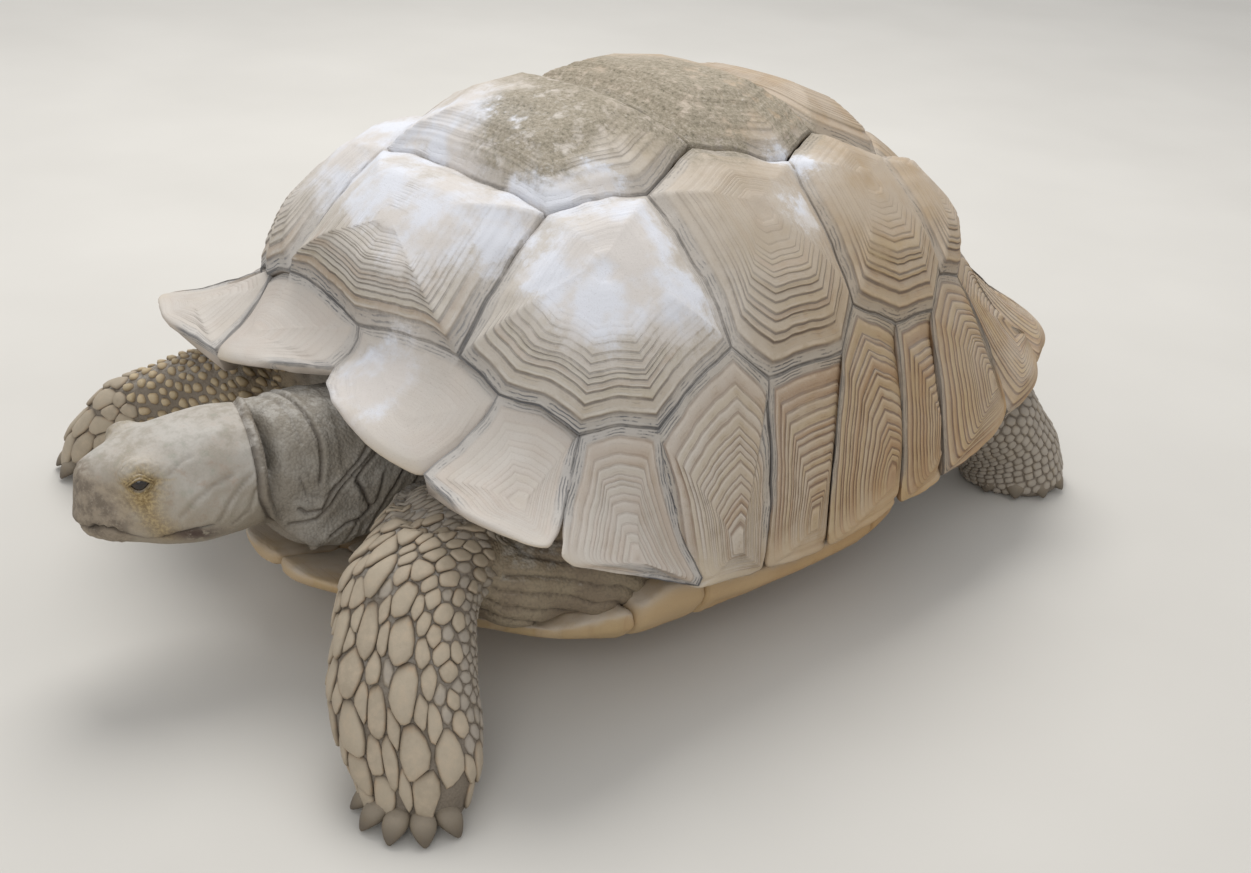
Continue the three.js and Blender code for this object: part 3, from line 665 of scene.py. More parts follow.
hide = bmesh.new()
for node in FLESH:
    part = merged_copy(node)
    if node == "trunk":  # the vault under the back plates is never seen
        bmesh.ops.bisect_plane(part, geom=part.verts[:] + part.edges[:] + part.faces[:],
                               plane_co=(0, 0, 0.2), plane_no=(0, 0, 1), clear_outer=True)
        bmesh.ops.holes_fill(part, edges=part.edges[:], sides=0)
    bulk = bpy.data.meshes.new(node)
    part.to_mesh(bulk)
    part.free()
    hide.from_mesh(bulk)
# slack skin that fills the openings between each leg and the shell, a dewlap, and lids over the eyes
POUCHES = [
    ((148, -218, 95), (50, 54, 34)), ((168, -172, 94), (50, 46, 33)), ((-160, -186, 94), (56, 58, 33)),
    ((146, 226, 90), (64, 52, 36)), ((-138, 212, 90), (62, 52, 36)), ((2, -268, 112), (40, 64, 34)),
]
for place, size in POUCHES + [(None, node) for node in EYES]:
    bulge = bmesh.ops.create_icosphere(hide, subdivisions=3, radius=1)["verts"]
    if place is None:
        bmesh.ops.scale(hide, vec=Vector((1, 1, 1)) * (EYE_BALL + LID), verts=bulge)
        bmesh.ops.translate(hide, vec=eye_centre(size), verts=bulge)
    else:
        for vert in bulge:  # flatter than a ball, as stretched skin is
            vert.co = [math.copysign(abs(v) ** 0.72, v) for v in vert.co]
        bmesh.ops.scale(hide, vec=Vector(size) / 1000, verts=bulge)
        bmesh.ops.translate(hide, vec=spot(*place), verts=bulge)
whole = bpy.data.meshes.new("joined")
hide.to_mesh(whole)
hide.free()
joined = bpy.data.objects.new("joined", whole)
bpy.context.scene.collection.objects.link(joined)
remesh = joined.modifiers.new("one hide", "REMESH")
remesh.mode = "VOXEL"
remesh.voxel_size = HIDE_MESH
evaluated = joined.evaluated_get(bpy.context.evaluated_depsgraph_get())
hide = bmesh.new()
hide.from_mesh(evaluated.to_mesh())
bpy.data.objects.remove(joined)
soften(hide, hide.verts, times=6)

HEAD_ROOT = (-15, -331, 147)
HEAD_TURN = math.radians(20)   # to the animal's right
HEAD_NOD = math.radians(3)


def head_place(x, y, z):
    """Where a place lies on the head, in mm: forward from the collar, to its left, and above its axis."""
    x, y, z = x - HEAD_ROOT[0], y - HEAD_ROOT[1], z - HEAD_ROOT[2]
    aside = x * math.cos(HEAD_TURN) - y * math.sin(HEAD_TURN)
    rear = x * math.sin(HEAD_TURN) + y * math.cos(HEAD_TURN)
    return (-(rear * math.cos(HEAD_NOD) + z * math.sin(HEAD_NOD)), aside,
            z * math.cos(HEAD_NOD) - rear * math.sin(HEAD_NOD))


def millimetres(verts):
    """The places of the verts in the animal's own millimetres, as x, y and z arrays."""
    co = np.array([v.co for v in verts])
    return (co[:, 0] - MIDLINE) * 1000, (co[:, 1] - ORIGIN_Y) * 1000, co[:, 2] * 1000


def to_line(points, px, py):
    """Distance from each (px, py) to a bent line, and the side it lies on: 1 to the line's left."""
    best = np.full(len(px), 1e9)
    way = np.zeros(len(px))
    for (ax, ay), (bx, by) in zip(points, points[1:]):
        along = (px - ax) * (bx - ax) + (py - ay) * (by - ay)
        t = np.clip(along / ((bx - ax) ** 2 + (by - ay) ** 2), 0, 1)
        gap = np.hypot(px - ax - t * (bx - ax), py - ay - t * (by - ay))
        turn = np.sign((bx - ax) * (py - ay) - (by - ay) * (px - ax))
        way = np.where(gap < best, turn, way)
        best = np.minimum(gap, best)
    return best, way


# the mouth dips behind the beak and ends under the cheek: (forward, above) in the head's side view
MOUTH = [
    (131, -21), (122, -20), (115, -17), (104, -19), (94, -25),
    (84, -29), (74, -28), (66, -25), (52, -21), (40, -20),
]
COLLAR = [(6, 46), (5, 20), (6, -8), (0, -28), (-12, -44), (-28, -58)]
# folds of the neck as (rearward, up) in the animal's side view, with their depth in mm
NECK_FOLDS = [
    (0.9, [(-312, 192), (-316, 182), (-317, 172)]),
    (2.0, [(-304, 196), (-305, 181), (-305, 170), (-307, 156), (-308, 144)]),
    (2.0, [(-323, 124), (-319, 120), (-308, 122), (-299, 135), (-287, 147), (-276, 156), (-262, 170)]),
    (1.9, [(-326, 112), (-313, 115), (-302, 124), (-292, 136), (-279, 149), (-264, 160)]),
    (2.2, [(-303, 99), (-293, 106), (-279, 108), (-272, 113),
           (-277, 129), (-281, 140), (-275, 148), (-262, 158)]),
    (2.2, [(-272, 92), (-263, 108), (-252, 129), (-242, 146)]),
    (1.5, [(-290, 88), (-284, 104), (-266, 118), (-262, 138)]),
    (1.6, [(-256, 88), (-246, 108), (-234, 132)]),
    (0.8, [(-322, 150), (-318, 136), (-306, 131), (-296, 140)]),
]
# old creases of the cheek and temple, as (forward, above) in the head's side view
CHEEK_FOLDS = [
    (0.5, [(64, 21), (57, 26), (48, 30)]), (0.7, [(61, -10), (48, 4), (36, 12), (23, 15)]),
    (0.8, [(36, -16), (26, -1), (17, 9), (10, 12)]), (0.7, [(26, -24), (15, -15), (8, 0)]),
    (0.5, [(84, 5), (81, -12), (73, -25)]), (0.5, [(97, 10), (88, -8), (80, -24)]),
]


def refine(chosen):
    """Halves the mesh where chosen(x, y, z) says so."""
    inside = chosen(*millimetres(hide.verts))
    hide.verts.index_update()
    edges = [e for e in hide.edges if inside[e.verts[0].index] and inside[e.verts[1].index]]
    bmesh.ops.subdivide_edges(hide, edges=edges, cuts=1, use_grid_fill=True)


def near_eyes(reach):
    """A test for places within reach mm of an eye's centre."""
    def test(x, y, z):
        inside = np.zeros(len(x), bool)
        for node in EYES:
            eye = eye_centre(node)
            gaps = (x - (eye.x - MIDLINE) * 1000, y - (eye.y - ORIGIN_Y) * 1000, z - eye.z * 1000)
            inside |= gaps[0] ** 2 + gaps[1] ** 2 + gaps[2] ** 2 < reach * reach
        return inside
    return test


def near_lines(x, y, z):
    """Close to the mouth, the collar or a fold of the neck."""
    forward, aside, above = head_place(x, y, z)
    inside = (to_line(MOUTH, forward, above)[0] < 3.4) & (abs(aside) < 60) & (y < -300)
    inside |= (to_line(COLLAR, forward, above)[0] < 4.2) & (abs(aside) < 70) & (y < -290)
    for _, line in NECK_FOLDS:
        inside |= (to_line(line, y, z)[0] < 3.4) & (x > -10) & (x < 62) & (y < -225)
    return inside


# the hide under the shell, never seen, is drawn in a little and let out into few large faces
x, y, z = millimetres(hide.verts)
hide.normal_update()
under_shell = ((z > 150) & (abs(x + 12) > 95)) | (z > 208)
for vert, hidden in zip(hide.verts, under_shell):
    if hidden:
        vert.co -= vert.normal * 0.006
covered = ((abs(y) < 128) & (abs(x) < 250)) | ((z > 150) & (abs(y + 10) < 225))
dull = [v for v, lost in zip(hide.verts, covered) if lost]
dull_edges = [e for e in hide.edges if covered[e.verts[0].index] and covered[e.verts[1].index]]
bmesh.ops.dissolve_limit(hide, angle_limit=math.radians(14), verts=dull, edges=dull_edges)
bmesh.ops.triangulate(hide, faces=[f for f in hide.faces if len(f.verts) > 4])

# finer mesh on the head and neck, along their lines, and round the eyes
refine(lambda x, y, z: (y < -232) & (z > 80) & (abs(x + 15) < 76) & (x > -64 - 0.2 * (y + 232)))
refine(near_lines)
refine(lambda x, y, z: ((x - 160) / 78) ** 2 + ((y + 196) / 76) ** 2 + ((z - 92) / 50) ** 2 < 1)
refine(near_eyes(22))
refine(near_eyes(16))
hide.verts.index_update()
hide.normal_update()
x, y, z = millimetres(hide.verts)
normals = np.array([v.normal for v in hide.verts])
places = np.array([v.co for v in hide.verts])
forward, aside, above = head_place(x, y, z)


def ripple(size, seed, where):
    """Noise at the chosen vertices and 0 at the others, in waves of size metres."""
    out = np.zeros(len(x))
    index = np.flatnonzero(where)
    out[index] = smooth_noise(places[index], size, seed)
    return out


def ridge(gap, width):
    """1 on a line and nearly 0 at twice the width from it."""
    return np.exp(-(gap / width) ** 2)


front = (y < -195) & (abs(x + 12) < 90) & (z > 66) & (x + 0.4 * y < 12)
on_head = soft_step(2, 8, forward) * (abs(aside) < 62) * (z > 85) * (y < -320)
lift, hollow = np.zeros(len(x)), np.zeros(len(x))   # how far the hide is raised, in mm, and how shaded

# swellings and dents on both sides of the head: height, then place and half-sizes (forward, aside, above)
for height, at_forward, at_aside, at_above, *sizes in (
    (7.6, 86, 30, 26, 17, 10, 11),    # brows that stand over the eyes
    (-1.8, 88, 0, 38, 18, 10, 8),     # the forehead between them
    (2.6, 46, 44, -6, 24, 14, 20),    # cheeks
    (-1.6, 103, 27, 6, 9, 9, 12),     # the dent in front of the eye
    (-1.2, 63, 40, 4, 7, 12, 20),     # and the one behind it
    (1.5, 30, 24, 42, 26, 20, 12),    # temples
    (1.6, 121, 12, 20, 9, 12, 8),     # above the nostrils
):
    gaps = (forward - at_forward, abs(aside) - at_aside, above - at_above)
    swelling = np.exp(-1.4 * sum((gap / size) ** 2 for gap, size in zip(gaps, sizes))) * on_head
    lift += height * swelling

# the mouth: horn above overhangs the lower jaw, and the line dips before it meets the corner
mouth_gap, way = to_line(MOUTH, forward, above)
fade = soft_step(34, 50, forward) * on_head
lift -= 3.6 * ridge(mouth_gap, 1.5) * fade
lift += np.where(way < 0, 1.3, 0) * ridge(mouth_gap, 7) * soft_step(0.6, 2.2, mouth_gap) * fade
lift -= np.where(way > 0, 2.0, 0) * ridge(mouth_gap, 9) * fade
# beak: sheaths of horn on both jaws, rough and worn, with a low edge against the skin
beak_edge = np.interp(above, [-30, -22, -8, 5, 20, 30], [99, 97, 101, 107, 117, 126])
beak = soft_step(-2.0, 2.0, forward - beak_edge + 1.5 * ripple(0.006, 3, on_head > 0)) * on_head
lift += (0.7 + 0.45 * ripple(0.0035, 5, beak > 0)) * beak
# small scales that still stand in relief round the eye
eye_zone = np.exp(-(((forward - 82) / 15) ** 2 + ((above - 15) / 12) ** 2)) * on_head
lift += 0.8 * ripple(0.0036, 43, eye_zone > 0.05) * eye_zone
for depth, line in CHEEK_FOLDS:
    fold_gap, _ = to_line(line, forward, above + 1.5 * ripple(0.012, 31, on_head > 0))
    lift -= depth * ridge(fold_gap, 1.1) * on_head
    lift += 0.8 * depth * ridge(fold_gap - 3.6, 2.6) * on_head
    # painted shade in the crease
    hollow += 0.42 * depth * ridge(fold_gap, 1.0) * on_head
lift -= 0.6 * soft_step(121, 126, forward) * on_head
# nostrils
pit = (((abs(aside) - 8) / 2.4) ** 2 + ((above - 15) / 1.7) ** 2) ** 1.5
pit = np.exp(-pit) * (forward > 114) * on_head
lift -= 3.0 * pit

# the lip of neck skin that stands over the back of the head
collar_gap, _ = to_line(COLLAR, forward, above)
near_head = (y < -280) & (abs(aside) < 75) & (z > 75)
line_at = np.interp(above, [h for _, h in COLLAR[::-1]], [f for f, _ in COLLAR[::-1]])
past = np.where(forward < line_at, collar_gap, -collar_gap)
lift += 2.9 * ridge(past - 3.4, 2.6) * near_head
lift += 1.2 * soft_step(0, 2, past) * near_head * (past < 60)
lift -= 1.9 * ridge(past + 0.4, 0.95) * near_head
# painted shade in the groove under the collar, along the mouth and in the nostrils
hollow += 0.95 * ridge(past + 0.2, 1.3) * near_head
hollow += 2.2 * ridge(mouth_gap, 2.0) * fade + 1.2 * pit

# long thin folds along the neck, steeper towards the shell
on_neck = front * soft_step(1, 8, past)
for depth, line in NECK_FOLDS:
    wave = 1.6 * ripple(0.03, 17, front)
    fold_gap, fold_side = to_line(line, y + wave, z + wave)
    side = 0.55 + 0.45 * soft_step(-2, 2, fold_gap * fold_side)
    lift -= depth * ridge(fold_gap, 1.2) * on_neck
    lift += 0.75 * depth * side * ridge(fold_gap - 3.4, 2.7) * on_neck
    # painted shade in the fold
    hollow += 0.42 * depth * ridge(fold_gap, 1.3) * on_neck
lift += on_neck * (0.5 * ripple(0.012, 13, front) + 0.9 * ripple(0.035, 14, front))

# pockets: slack skin in a few long creases that run from the leg to the shell
pocket = np.zeros(len(x))
for (px, py, pz), _ in POUCHES[:5]:
    reach = ((x - px) / 92) ** 2 + ((y - py) / 84) ** 2 + ((z - pz) / 62) ** 2
    pocket = np.maximum(pocket, soft_step(1.15, 0.7, reach))
pocket *= ~front
run = 0.95 * z - 0.48 * (abs(y) - 200) + 8 * ripple(0.05, 21, pocket > 0)
run += 1.6 * ripple(0.015, 22, pocket > 0)
crease = abs(np.sin(math.pi * run / CREASE_EVERY))
lift += pocket * (CREASE_DEPTH * (1 - ridge(crease, 0.38)) + 0.4 * ripple(0.007, 23, pocket > 0) - 1.8)
# painted shade in the pocket's creases
hollow += pocket * 0.9 * ridge(crease, 0.2)
places += normals * (lift / 1000)[:, None]

# eyelids: small almond openings over the eyeballs, a thick rim, and grainy folds in rings round it
lids = np.zeros(len(x))
for node, hand in EYES.items():
    centre = eye_centre(node)
    sideways = Vector((math.cos(HEAD_TURN), -math.sin(HEAD_TURN), 0)) * hand
    ahead = Vector((-math.sin(HEAD_TURN), -math.cos(HEAD_TURN), 0))
    axis = (sideways + 0.22 * ahead + Vector((0, 0, 0.14))).normalized()
    ahead = (ahead - axis * ahead.dot(axis)).normalized()
    rise = axis.cross(ahead) * -hand
    gaps = places - np.array(centre)
    reach = np.linalg.norm(gaps, axis=1)
    near = np.flatnonzero(reach < 0.024)
    way = gaps[near] / reach[near, None]
    out, across, up = way @ np.array(axis), way @ np.array(ahead), way @ np.array(rise)
    swing, nod = np.degrees(np.arctan2(across, out)), np.degrees(np.arctan2(up, out))
    tilt = nod + 0.10 * swing
    bend = 1 - np.clip(np.abs(swing) / 43, 0, 1) ** 2
    edge = np.where(tilt > 0, tilt - 21 * bend, -tilt - 24 * bend)
    beyond = np.abs(swing) - 43        # past the corners of the opening
    slope = np.where(beyond < 0, np.maximum(edge, -30), np.hypot(beyond, tilt))
    ball = EYE_BALL * 1000
    lid = ball + 1.2 + 1.3 * ridge(slope - 6, 5) - 0.7 * ridge(slope - 14, 2.6)
    lid += 0.9 * ridge(slope - 21, 4.5) - 0.6 * ridge(slope - 29, 3)
    lid += 0.4 * smooth_noise(places[near], 0.0014, 41) * soft_step(2, 8, slope)
    old = reach[near] * 1000
    hold = soft_step(0.0, 0.35, out) * soft_step(50, 26, slope) * (out > 0)
    new = old * (1 - hold) + np.maximum(lid, 0.55 * lid + 0.45 * old) * hold
    shut = np.where(out > 0, soft_step(-2.6, 0.8, slope), 1)
    new = new * shut + (ball - 2.4) * (1 - shut)
    places[near] = np.array(centre) + way * (new / 1000)[:, None]
    lids[near] = np.maximum(lids[near], soft_step(62, 20, slope) * (out > 0))
    # painted shade in rings round the lids and at the edge of the opening
    ring = ridge(slope - 14, 3) * 0.5 + ridge(slope - 29, 3.5) * 0.3
    hollow[near] += (ring + 1.1 * ridge(slope + 1, 3.5)) * (out > 0)
# the left hand narrows towards its claws
toe_x, toe_y = (places[:, 0] - MIDLINE) * 1000 - 222, (places[:, 1] - ORIGIN_Y) * 1000 + 366
taper = 0.21 * soft_step(56, 4, places[:, 2] * 1000) * (np.hypot(toe_x, toe_y) < 75)
places[:, 0] -= taper * toe_x / 1000
places[:, 1] -= taper * toe_y / 1000
places[:, 2] = np.maximum(places[:, 2], 0)

for vert, place in zip(hide.verts, places):
    vert.co = place
blotch = ((forward - 53) / 18) ** 2 + ((above + 28 - 0.12 * (forward - 53)) / 7) ** 2   # dark, on the jaw
blotch = np.exp(-(blotch ** 1.3)) * on_head
stripe, _ = to_line([(84, 4), (79, -12), (70, -25)], forward, above)
ochre = ridge(stripe, 9) + 0.9 * np.exp(-(((forward - 82) / 15) ** 2 + ((above - 15) / 14) ** 2))
ochre = ochre * on_head + 0.7 * lids
snout_edge = np.interp(above, [-30, -20, 0, 12, 22, 34], [94, 90, 91, 98, 112, 126])
snout = soft_step(-9, 9, forward - snout_edge + 6 * ripple(0.014, 33, on_head > 0)) * on_head
legs = soft_step(0.2, 0.0, pocket) * ~front * (z < 175)
on_neck = on_neck * soft_step(96, 66, abs(x + 12))
PAINTED = {
    "hollow": hollow, "beak": beak, "snout": snout, "blotch": blotch, "ochre": ochre,
    "head": on_head, "neck": on_neck, "pocket": pocket, "legs": legs,
}
for name, values in PAINTED.items():
    layer = hide.verts.layers.float.new(name)
    for vert, value in zip(hide.verts, np.clip(values, 0, 1.5)):
        vert[layer] = value

# Reptile hide: leathery, dry and dusted with sand. Smooth and grey-beige on the head, where old scales
# have run together, browner and finely grained on the neck and in the pockets, horn-grey on the beak.
hide_skin, add = new_material("dusty_tortoise_hide")
where = add("TexCoord", out="Object")
broad, patchy, speckle, grain = (
    add("TexNoise", {"Vector": where, "Scale": scale, "Detail": detail, "Roughness": rough})
    for scale, detail, rough in (
        (30.0, 4.0, 0.5), (110.0, 5.0, 0.65), (420.0, 4.0, 0.7), (1100.0, 3.0, 0.7))
)
# the grains of the neck and the pockets are scales of about 2 mm; the head's are worn nearly flat
pebbles = add("TexVoronoi", {"Vector": where, "Scale": 430.0, "Randomness": 0.9}, out="Distance")
up = add("SeparateXYZ", (add("NewGeometry", out="Normal"),), out="Z")
on = {key: add("Attribute", attribute_name=key, out="Fac") for key in PAINTED}
worn = add("Math", (1.0, add("Math", (on["head"], 0.8), **TIMES)), **MINUS)
mottled = add("Math", (speckle, 0.6, 0.42), **TIMES_PLUS)
face_tone = coated(add, (
    ((), ((broad, 0.38, 0.62), "#b4aea4", "#a59c8f")),
    (((patchy, 0.52, 0.7), 0.5), "#a18d7b"),
    (((patchy, 0.46, 0.3), 0.45), "#96998a"),
    # painted shade: darker and browner where the head faces down
    (((up, 0.45, -0.35), 0.62), "#988b76"),
))
snout_tone = coated(add, (
    ((), ((patchy, 0.36, 0.62), "#7f7263", "#a0927e")),
    (((speckle, 0.52, 0.72), 0.4), "#b5aa98"),
))
beak_tone = coated(add, (
    ((), ((patchy, 0.38, 0.62), "#6c6052", "#918473")),
    (((speckle, 0.5, 0.7), 0.5), "#a99f90"),
))
tint = coated(add, (
    ((), ((broad, 0.35, 0.65), "#8d8477", "#7f7566")),     # tail, and where nothing else lies
    ((on["legs"], 0.55), "#74685a"),                       # between the scales
    ((on["pocket"],), ((broad, 0.35, 0.62), "#94866f", "#82735f")),
    ((on["neck"],), ((broad, 0.36, 0.64), "#9f998f", "#8e8679")),
    ((on["head"],), face_tone),
    ((on["snout"], 0.85), snout_tone),
    ((on["ochre"], mottled), ((speckle, 0.42, 0.6), "#8a744c", "#b39d72")),
    ((on["beak"], 0.6), beak_tone),
    ((on["blotch"], (patchy, 0.34, 0.50)), "#52423a"),
    # painted shade in folds, creases, the mouth, the nostrils and round the eyes
    ((on["hollow"], 0.72), "#463c32"),
    (((up, 0.45, 0.95), (patchy, 0.4, 0.62), 0.4), "#cdc9c1"),   # dust
    (((pebbles, 0.45, 0.9), worn, 0.3), "#5b5145"),
))
ups = add("Math", (add("Math", (pebbles, -1.2), **TIMES), worn), **TIMES)
ups = add("Math", (grain, 0.35, ups), **TIMES_PLUS)
ups = add("Math", (speckle, add("Math", (on["beak"], 0.9, 0.35), **TIMES_PLUS), ups), **TIMES_PLUS)
bump = add("Bump", {"Height": ups, "Strength": 0.75, "Distance": 0.0007})
shader = add("BsdfPrincipled", {"Base Color": tint, "Roughness": 0.82, "Normal": bump})
add("OutputMaterial", {"Surface": shader})

skin = new_piece("skin", hide, hide_skin)
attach(skin, "root")
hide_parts(*FLESH)


# ---------------------------------------------------------------- eyes
# Small dark wet eyes, deep between their lids: a brown iris that hardly parts from the pupil.
eye_wet, add = new_material("wet_cornea_over_dark_iris")
tone = add("TexNoise", {"Vector": add("TexCoord", out="Object"), "Scale": 600.0, "Detail": 3.0})
colour = add("ValToRGB", (tone,), stops=((0.35, "#120d09"), (0.65, "#33261a")))
wet = {"Roughness": 0.12, "IOR": 1.376, "Coat Weight": 0.6, "Coat Roughness": 0.03}
add("OutputMaterial", {"Surface": add("BsdfPrincipled", {"Base Color": colour, **wet})})
for node in EYES:
    ball = bmesh.new()
    bmesh.ops.create_uvsphere(ball, u_segments=40, v_segments=24, radius=EYE_BALL)
    bmesh.ops.translate(ball, vec=eye_centre(node), verts=ball.verts)
    eye = new_piece(node.replace("eye", "eyeball"), ball, eye_wet)
    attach(eye, "root")
    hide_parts(node)


# ---------------------------------------------------------------- scales of the legs and tail
# Horny scales grow out of the hide and lie towards the foot: long plump shields down the front of the
# forelegs, pale cones set apart on the right one, small pebbles elsewhere. Their roots are spread over
# the limb, each scale fills the room its neighbours leave, and all of one kind are one joined mesh.
skin_tree = BVHTree.FromObject(skin, bpy.context.evaluated_depsgraph_get())
GIRTH = 0.042       # a limb's mean radius, by which degrees round it become lengths
PATCH = 0.003       # side of a scale's own square on the map
SQUARENESS = 10     # how closely a scale fills the room between its neighbours
ROOTED = 0.0012     # how deep its rim goes into the hide
BONES = {           # the run of each limb in mm, and the way its front faces in degrees from the left
    "foreleg_left": (-58, [(100, -190, 116), (122, -262, 130), (150, -318, 106), (184, -348, 66),
                           (213, -361, 28), (222, -365, 0), (226, -367, -28)]),
    "foreleg_right": (-125, [(-120, -190, 108), (-186, -214, 112), (-248, -240, 94), (-296, -266, 62),
                             (-322, -284, 28), (-328, -290, 0), (-331, -293, -28)]),
    "hindleg_left": (-35, [(112, 210, 92), (152, 268, 86), (178, 314, 70), (190, 340, 40),
                           (196, 348, 0), (198, 350, -26)]),
    "hindleg_right": (-125, [(-112, 175, 90), (-158, 218, 84), (-190, 238, 66), (-202, 242, 38),
                             (-204, 242, 0), (-204, 242, -26)]),
    "tail": (90, [(0, 290, 96), (0, 318, 90), (0, 348, 64), (0, 360, 36)]),
}
AXIS_POINTS = 120   # along each limb's middle line
UNWRAP = {          # where each limb's scales lie on their map
    "foreleg_left": (0, 0), "foreleg_right": (0.34, 0),
    "hindleg_left": (0, 0.5), "hindleg_right": (0.34, 0.5), "tail": (0.68, 0),
}


def limb_axis(limb):
    """The limb's middle line, its way and its front at even steps, and its length."""
    front, bones = BONES[limb]
    line = np.array([spot(*b) for b in bones])
    for _ in range(3):
        cut = [(a * 0.75 + b * 0.25, a * 0.25 + b * 0.75) for a, b in zip(line, line[1:])]
        line = np.concatenate([line[:1], *map(np.array, cut), line[-1:]])
    run = np.concatenate([[0], np.cumsum(np.linalg.norm(np.diff(line, axis=0), axis=1))])
    even = np.linspace(0, run[-1], AXIS_POINTS + 1)
    line = np.array([np.interp(even, run, line[:, k]) for k in range(3)]).T
    index = np.arange(AXIS_POINTS + 1)
    down = line[np.minimum(index + 6, AXIS_POINTS)] - line[np.maximum(index - 6, 0)]
    down /= np.linalg.norm(down, axis=1)[:, None]
    face = np.array([math.cos(math.radians(front)), math.sin(math.radians(front)), 0])
    ahead = face - down * (down @ face)[:, None]
    ahead /= np.linalg.norm(ahead, axis=1)[:, None]
    return line, down, ahead, run[-1]


MOST_SCALES = 4000  # on one limb
TRIES = 26000       # at finding room for one more


def scatter(limb, shares, turns, width, stretch, dice, roots=(), rows=0):
    """Roots of scales over part of a limb, as [share, turn, width, stretch]: in rows a given distance
    apart, or given ones first and then others, dropped at random wherever there is room."""
    length = limb_axis(limb)[3]
    if rows:
        found = []
        for i in range(int((shares[1] - shares[0]) * length / rows)):
            share = shares[0] + (i + 0.5) * rows / length
            turn = turns[0] + (i % 2) * 0.5 * math.degrees(width(share, 0) / GIRTH)
            while turn < turns[1]:
                wide = width(share, turn)
                strayed = share + dice.uniform(-0.1, 0.1) * rows / length
                found.append([strayed, turn, wide, stretch(share, turn)])
                turn += math.degrees(wide / GIRTH) * dice.uniform(0.92, 1.08)
        return np.array(found)
    table = np.zeros((MOST_SCALES, 4))
    count = len(roots)
    table[:count] = np.array(roots).reshape(count, 4)
    for _ in range(TRIES):
        share, turn = dice.uniform(*shares), dice.uniform(*turns)
        wide, long = width(share, turn) * dice.uniform(0.8, 1.15), stretch(share, turn)
        known = table[:count]
        du = np.radians((known[:, 1] - turn + 180) % 360 - 180) * GIRTH
        dv = (known[:, 0] - share) * length
        mean = (known[:, 2] + wide) / 2
        crowding = (du / mean) ** 2 + (dv / mean / ((known[:, 3] + long) / 2)) ** 2
        if count < MOST_SCALES and not np.any(crowding < 0.70):
            table[count] = share, turn, wide, long
            count += 1
    return table[:count]


def grow_scales(name, limb, roots, kept, material, sides, rings, height, gap, lean, dice):
    """One joined mesh of scales. rings: (share of the outline, share of the height) from rim to crown."""
    line, down, ahead, length = limb_axis(limb)
    angles = np.arange(sides) * 2 * math.pi / sides
    rim = np.array([np.cos(angles), np.sin(angles)])
    spots, faces, tones, rises, patches = [], [], [], [], []
    cells = []      # the faces of one scale: bands of four-sided ones, and a fan to the crown's tip
    tip_index = len(rings) * sides
    for a in range(0, tip_index, sides):
        for k in range(sides):
            near, far = a + k, a + (k + 1) % sides
            last = a + sides == tip_index
            cells.append((near, far, tip_index) if last else (near, far, far + sides, near + sides))
    for share, turn, wide, long in roots:
        if not kept(share, turn):
            continue
        du = np.radians((roots[:, 1] - turn + 180) % 360 - 180) * GIRTH
        dv = (roots[:, 0] - share) * length / long
        reach = np.hypot(du, dv)
        near = (reach > 0) & (reach < 2.6 * wide)
        room = reach[near] * wide / (wide + roots[near, 2])
        facing = np.maximum(np.array([du[near] / reach[near], dv[near] / reach[near]]).T @ rim, 0)
        squeeze = ((facing / room[:, None]) ** SQUARENESS).sum(axis=0) + (1 / (0.86 * wide)) ** SQUARENESS
        outline = squeeze ** (-1 / SQUARENESS) * (1 - gap)
        grown = height * (wide / 0.018) ** 0.6 * dice.uniform(0.85, 1.15)
        placed = []
        for out, rise in rings + [(0, rings[-1][1] * 1.02)]:
            flat = rim * outline * out if out else np.zeros((2, 1))
            tip = flat[1] / (wide * 0.6)
            flat = np.array([flat[0], flat[1] * long + wide * 0.10 * long * rise])
            here = share + flat[1] / length
            step = np.clip(here * AXIS_POINTS, 0, AXIS_POINTS)
            low = np.minimum(step.astype(int), AXIS_POINTS - 1)
            part = (step - low)[:, None]
            middle, way_down, front = (
                run[low] * (1 - part) + run[low + 1] * part for run in (line, down, ahead))
            beside = np.cross(way_down, front)
            spin = np.radians(turn) + flat[0] / GIRTH
            ways = front * np.cos(spin)[:, None] + beside * np.sin(spin)[:, None]
            for k in range(flat.shape[1]):
                hit, normal, _, _ = skin_tree.ray_cast(Vector(middle[k]), Vector(ways[k]), 0.075)
                if hit is None or normal.dot(Vector(ways[k])) < 0.1:
                    placed = None
                    break
                high = grown * rise * (1 + lean * tip[k]) if rise > 0 else -ROOTED
                placed.append(hit + normal * high)
            if placed is None:
                break
        if placed is None or placed[-1].z < 0.002:
            continue
        if max((place - placed[-1]).length for place in placed) > 1.1 * wide * max(1, long) + 0.005:
            continue        # part of it would lie on another limb
        for place in placed:
            place.z = max(place.z, 0.0008)
        faces += [tuple(len(spots) + v for v in cell) for cell in cells]
        spots += placed
        tones += [dice.random()] * len(placed)
        rises += [rise for _, rise in rings for _ in range(sides)] + [1]
        left, bottom = UNWRAP[limb]
        root = np.array([left + 0.02 + 0.28 * ((turn % 360) / 360), bottom + 0.02 + 0.44 * share])
        for out, _ in rings:
            patches += (root + rim.T * out * PATCH / 2).tolist()
        patches.append(root.tolist())
    mesh = bpy.data.meshes.new(name)
    mesh.from_pydata([tuple(p) for p in spots], [], faces)
    for key, values in (("tone", tones), ("rise", rises)):
        mesh.attributes.new(key, "FLOAT", "POINT").data.foreach_set("value", values)
    order = np.empty(len(mesh.loops), int)
    mesh.loops.foreach_get("vertex_index", order)
    mesh.uv_layers.new(name="OFBake").data.foreach_set("uv", np.array(patches)[order].ravel())
    mesh.polygons.foreach_set("use_smooth", np.ones(len(mesh.polygons), bool))
    piece = new_piece(name, mesh, material)
    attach(piece, "root")


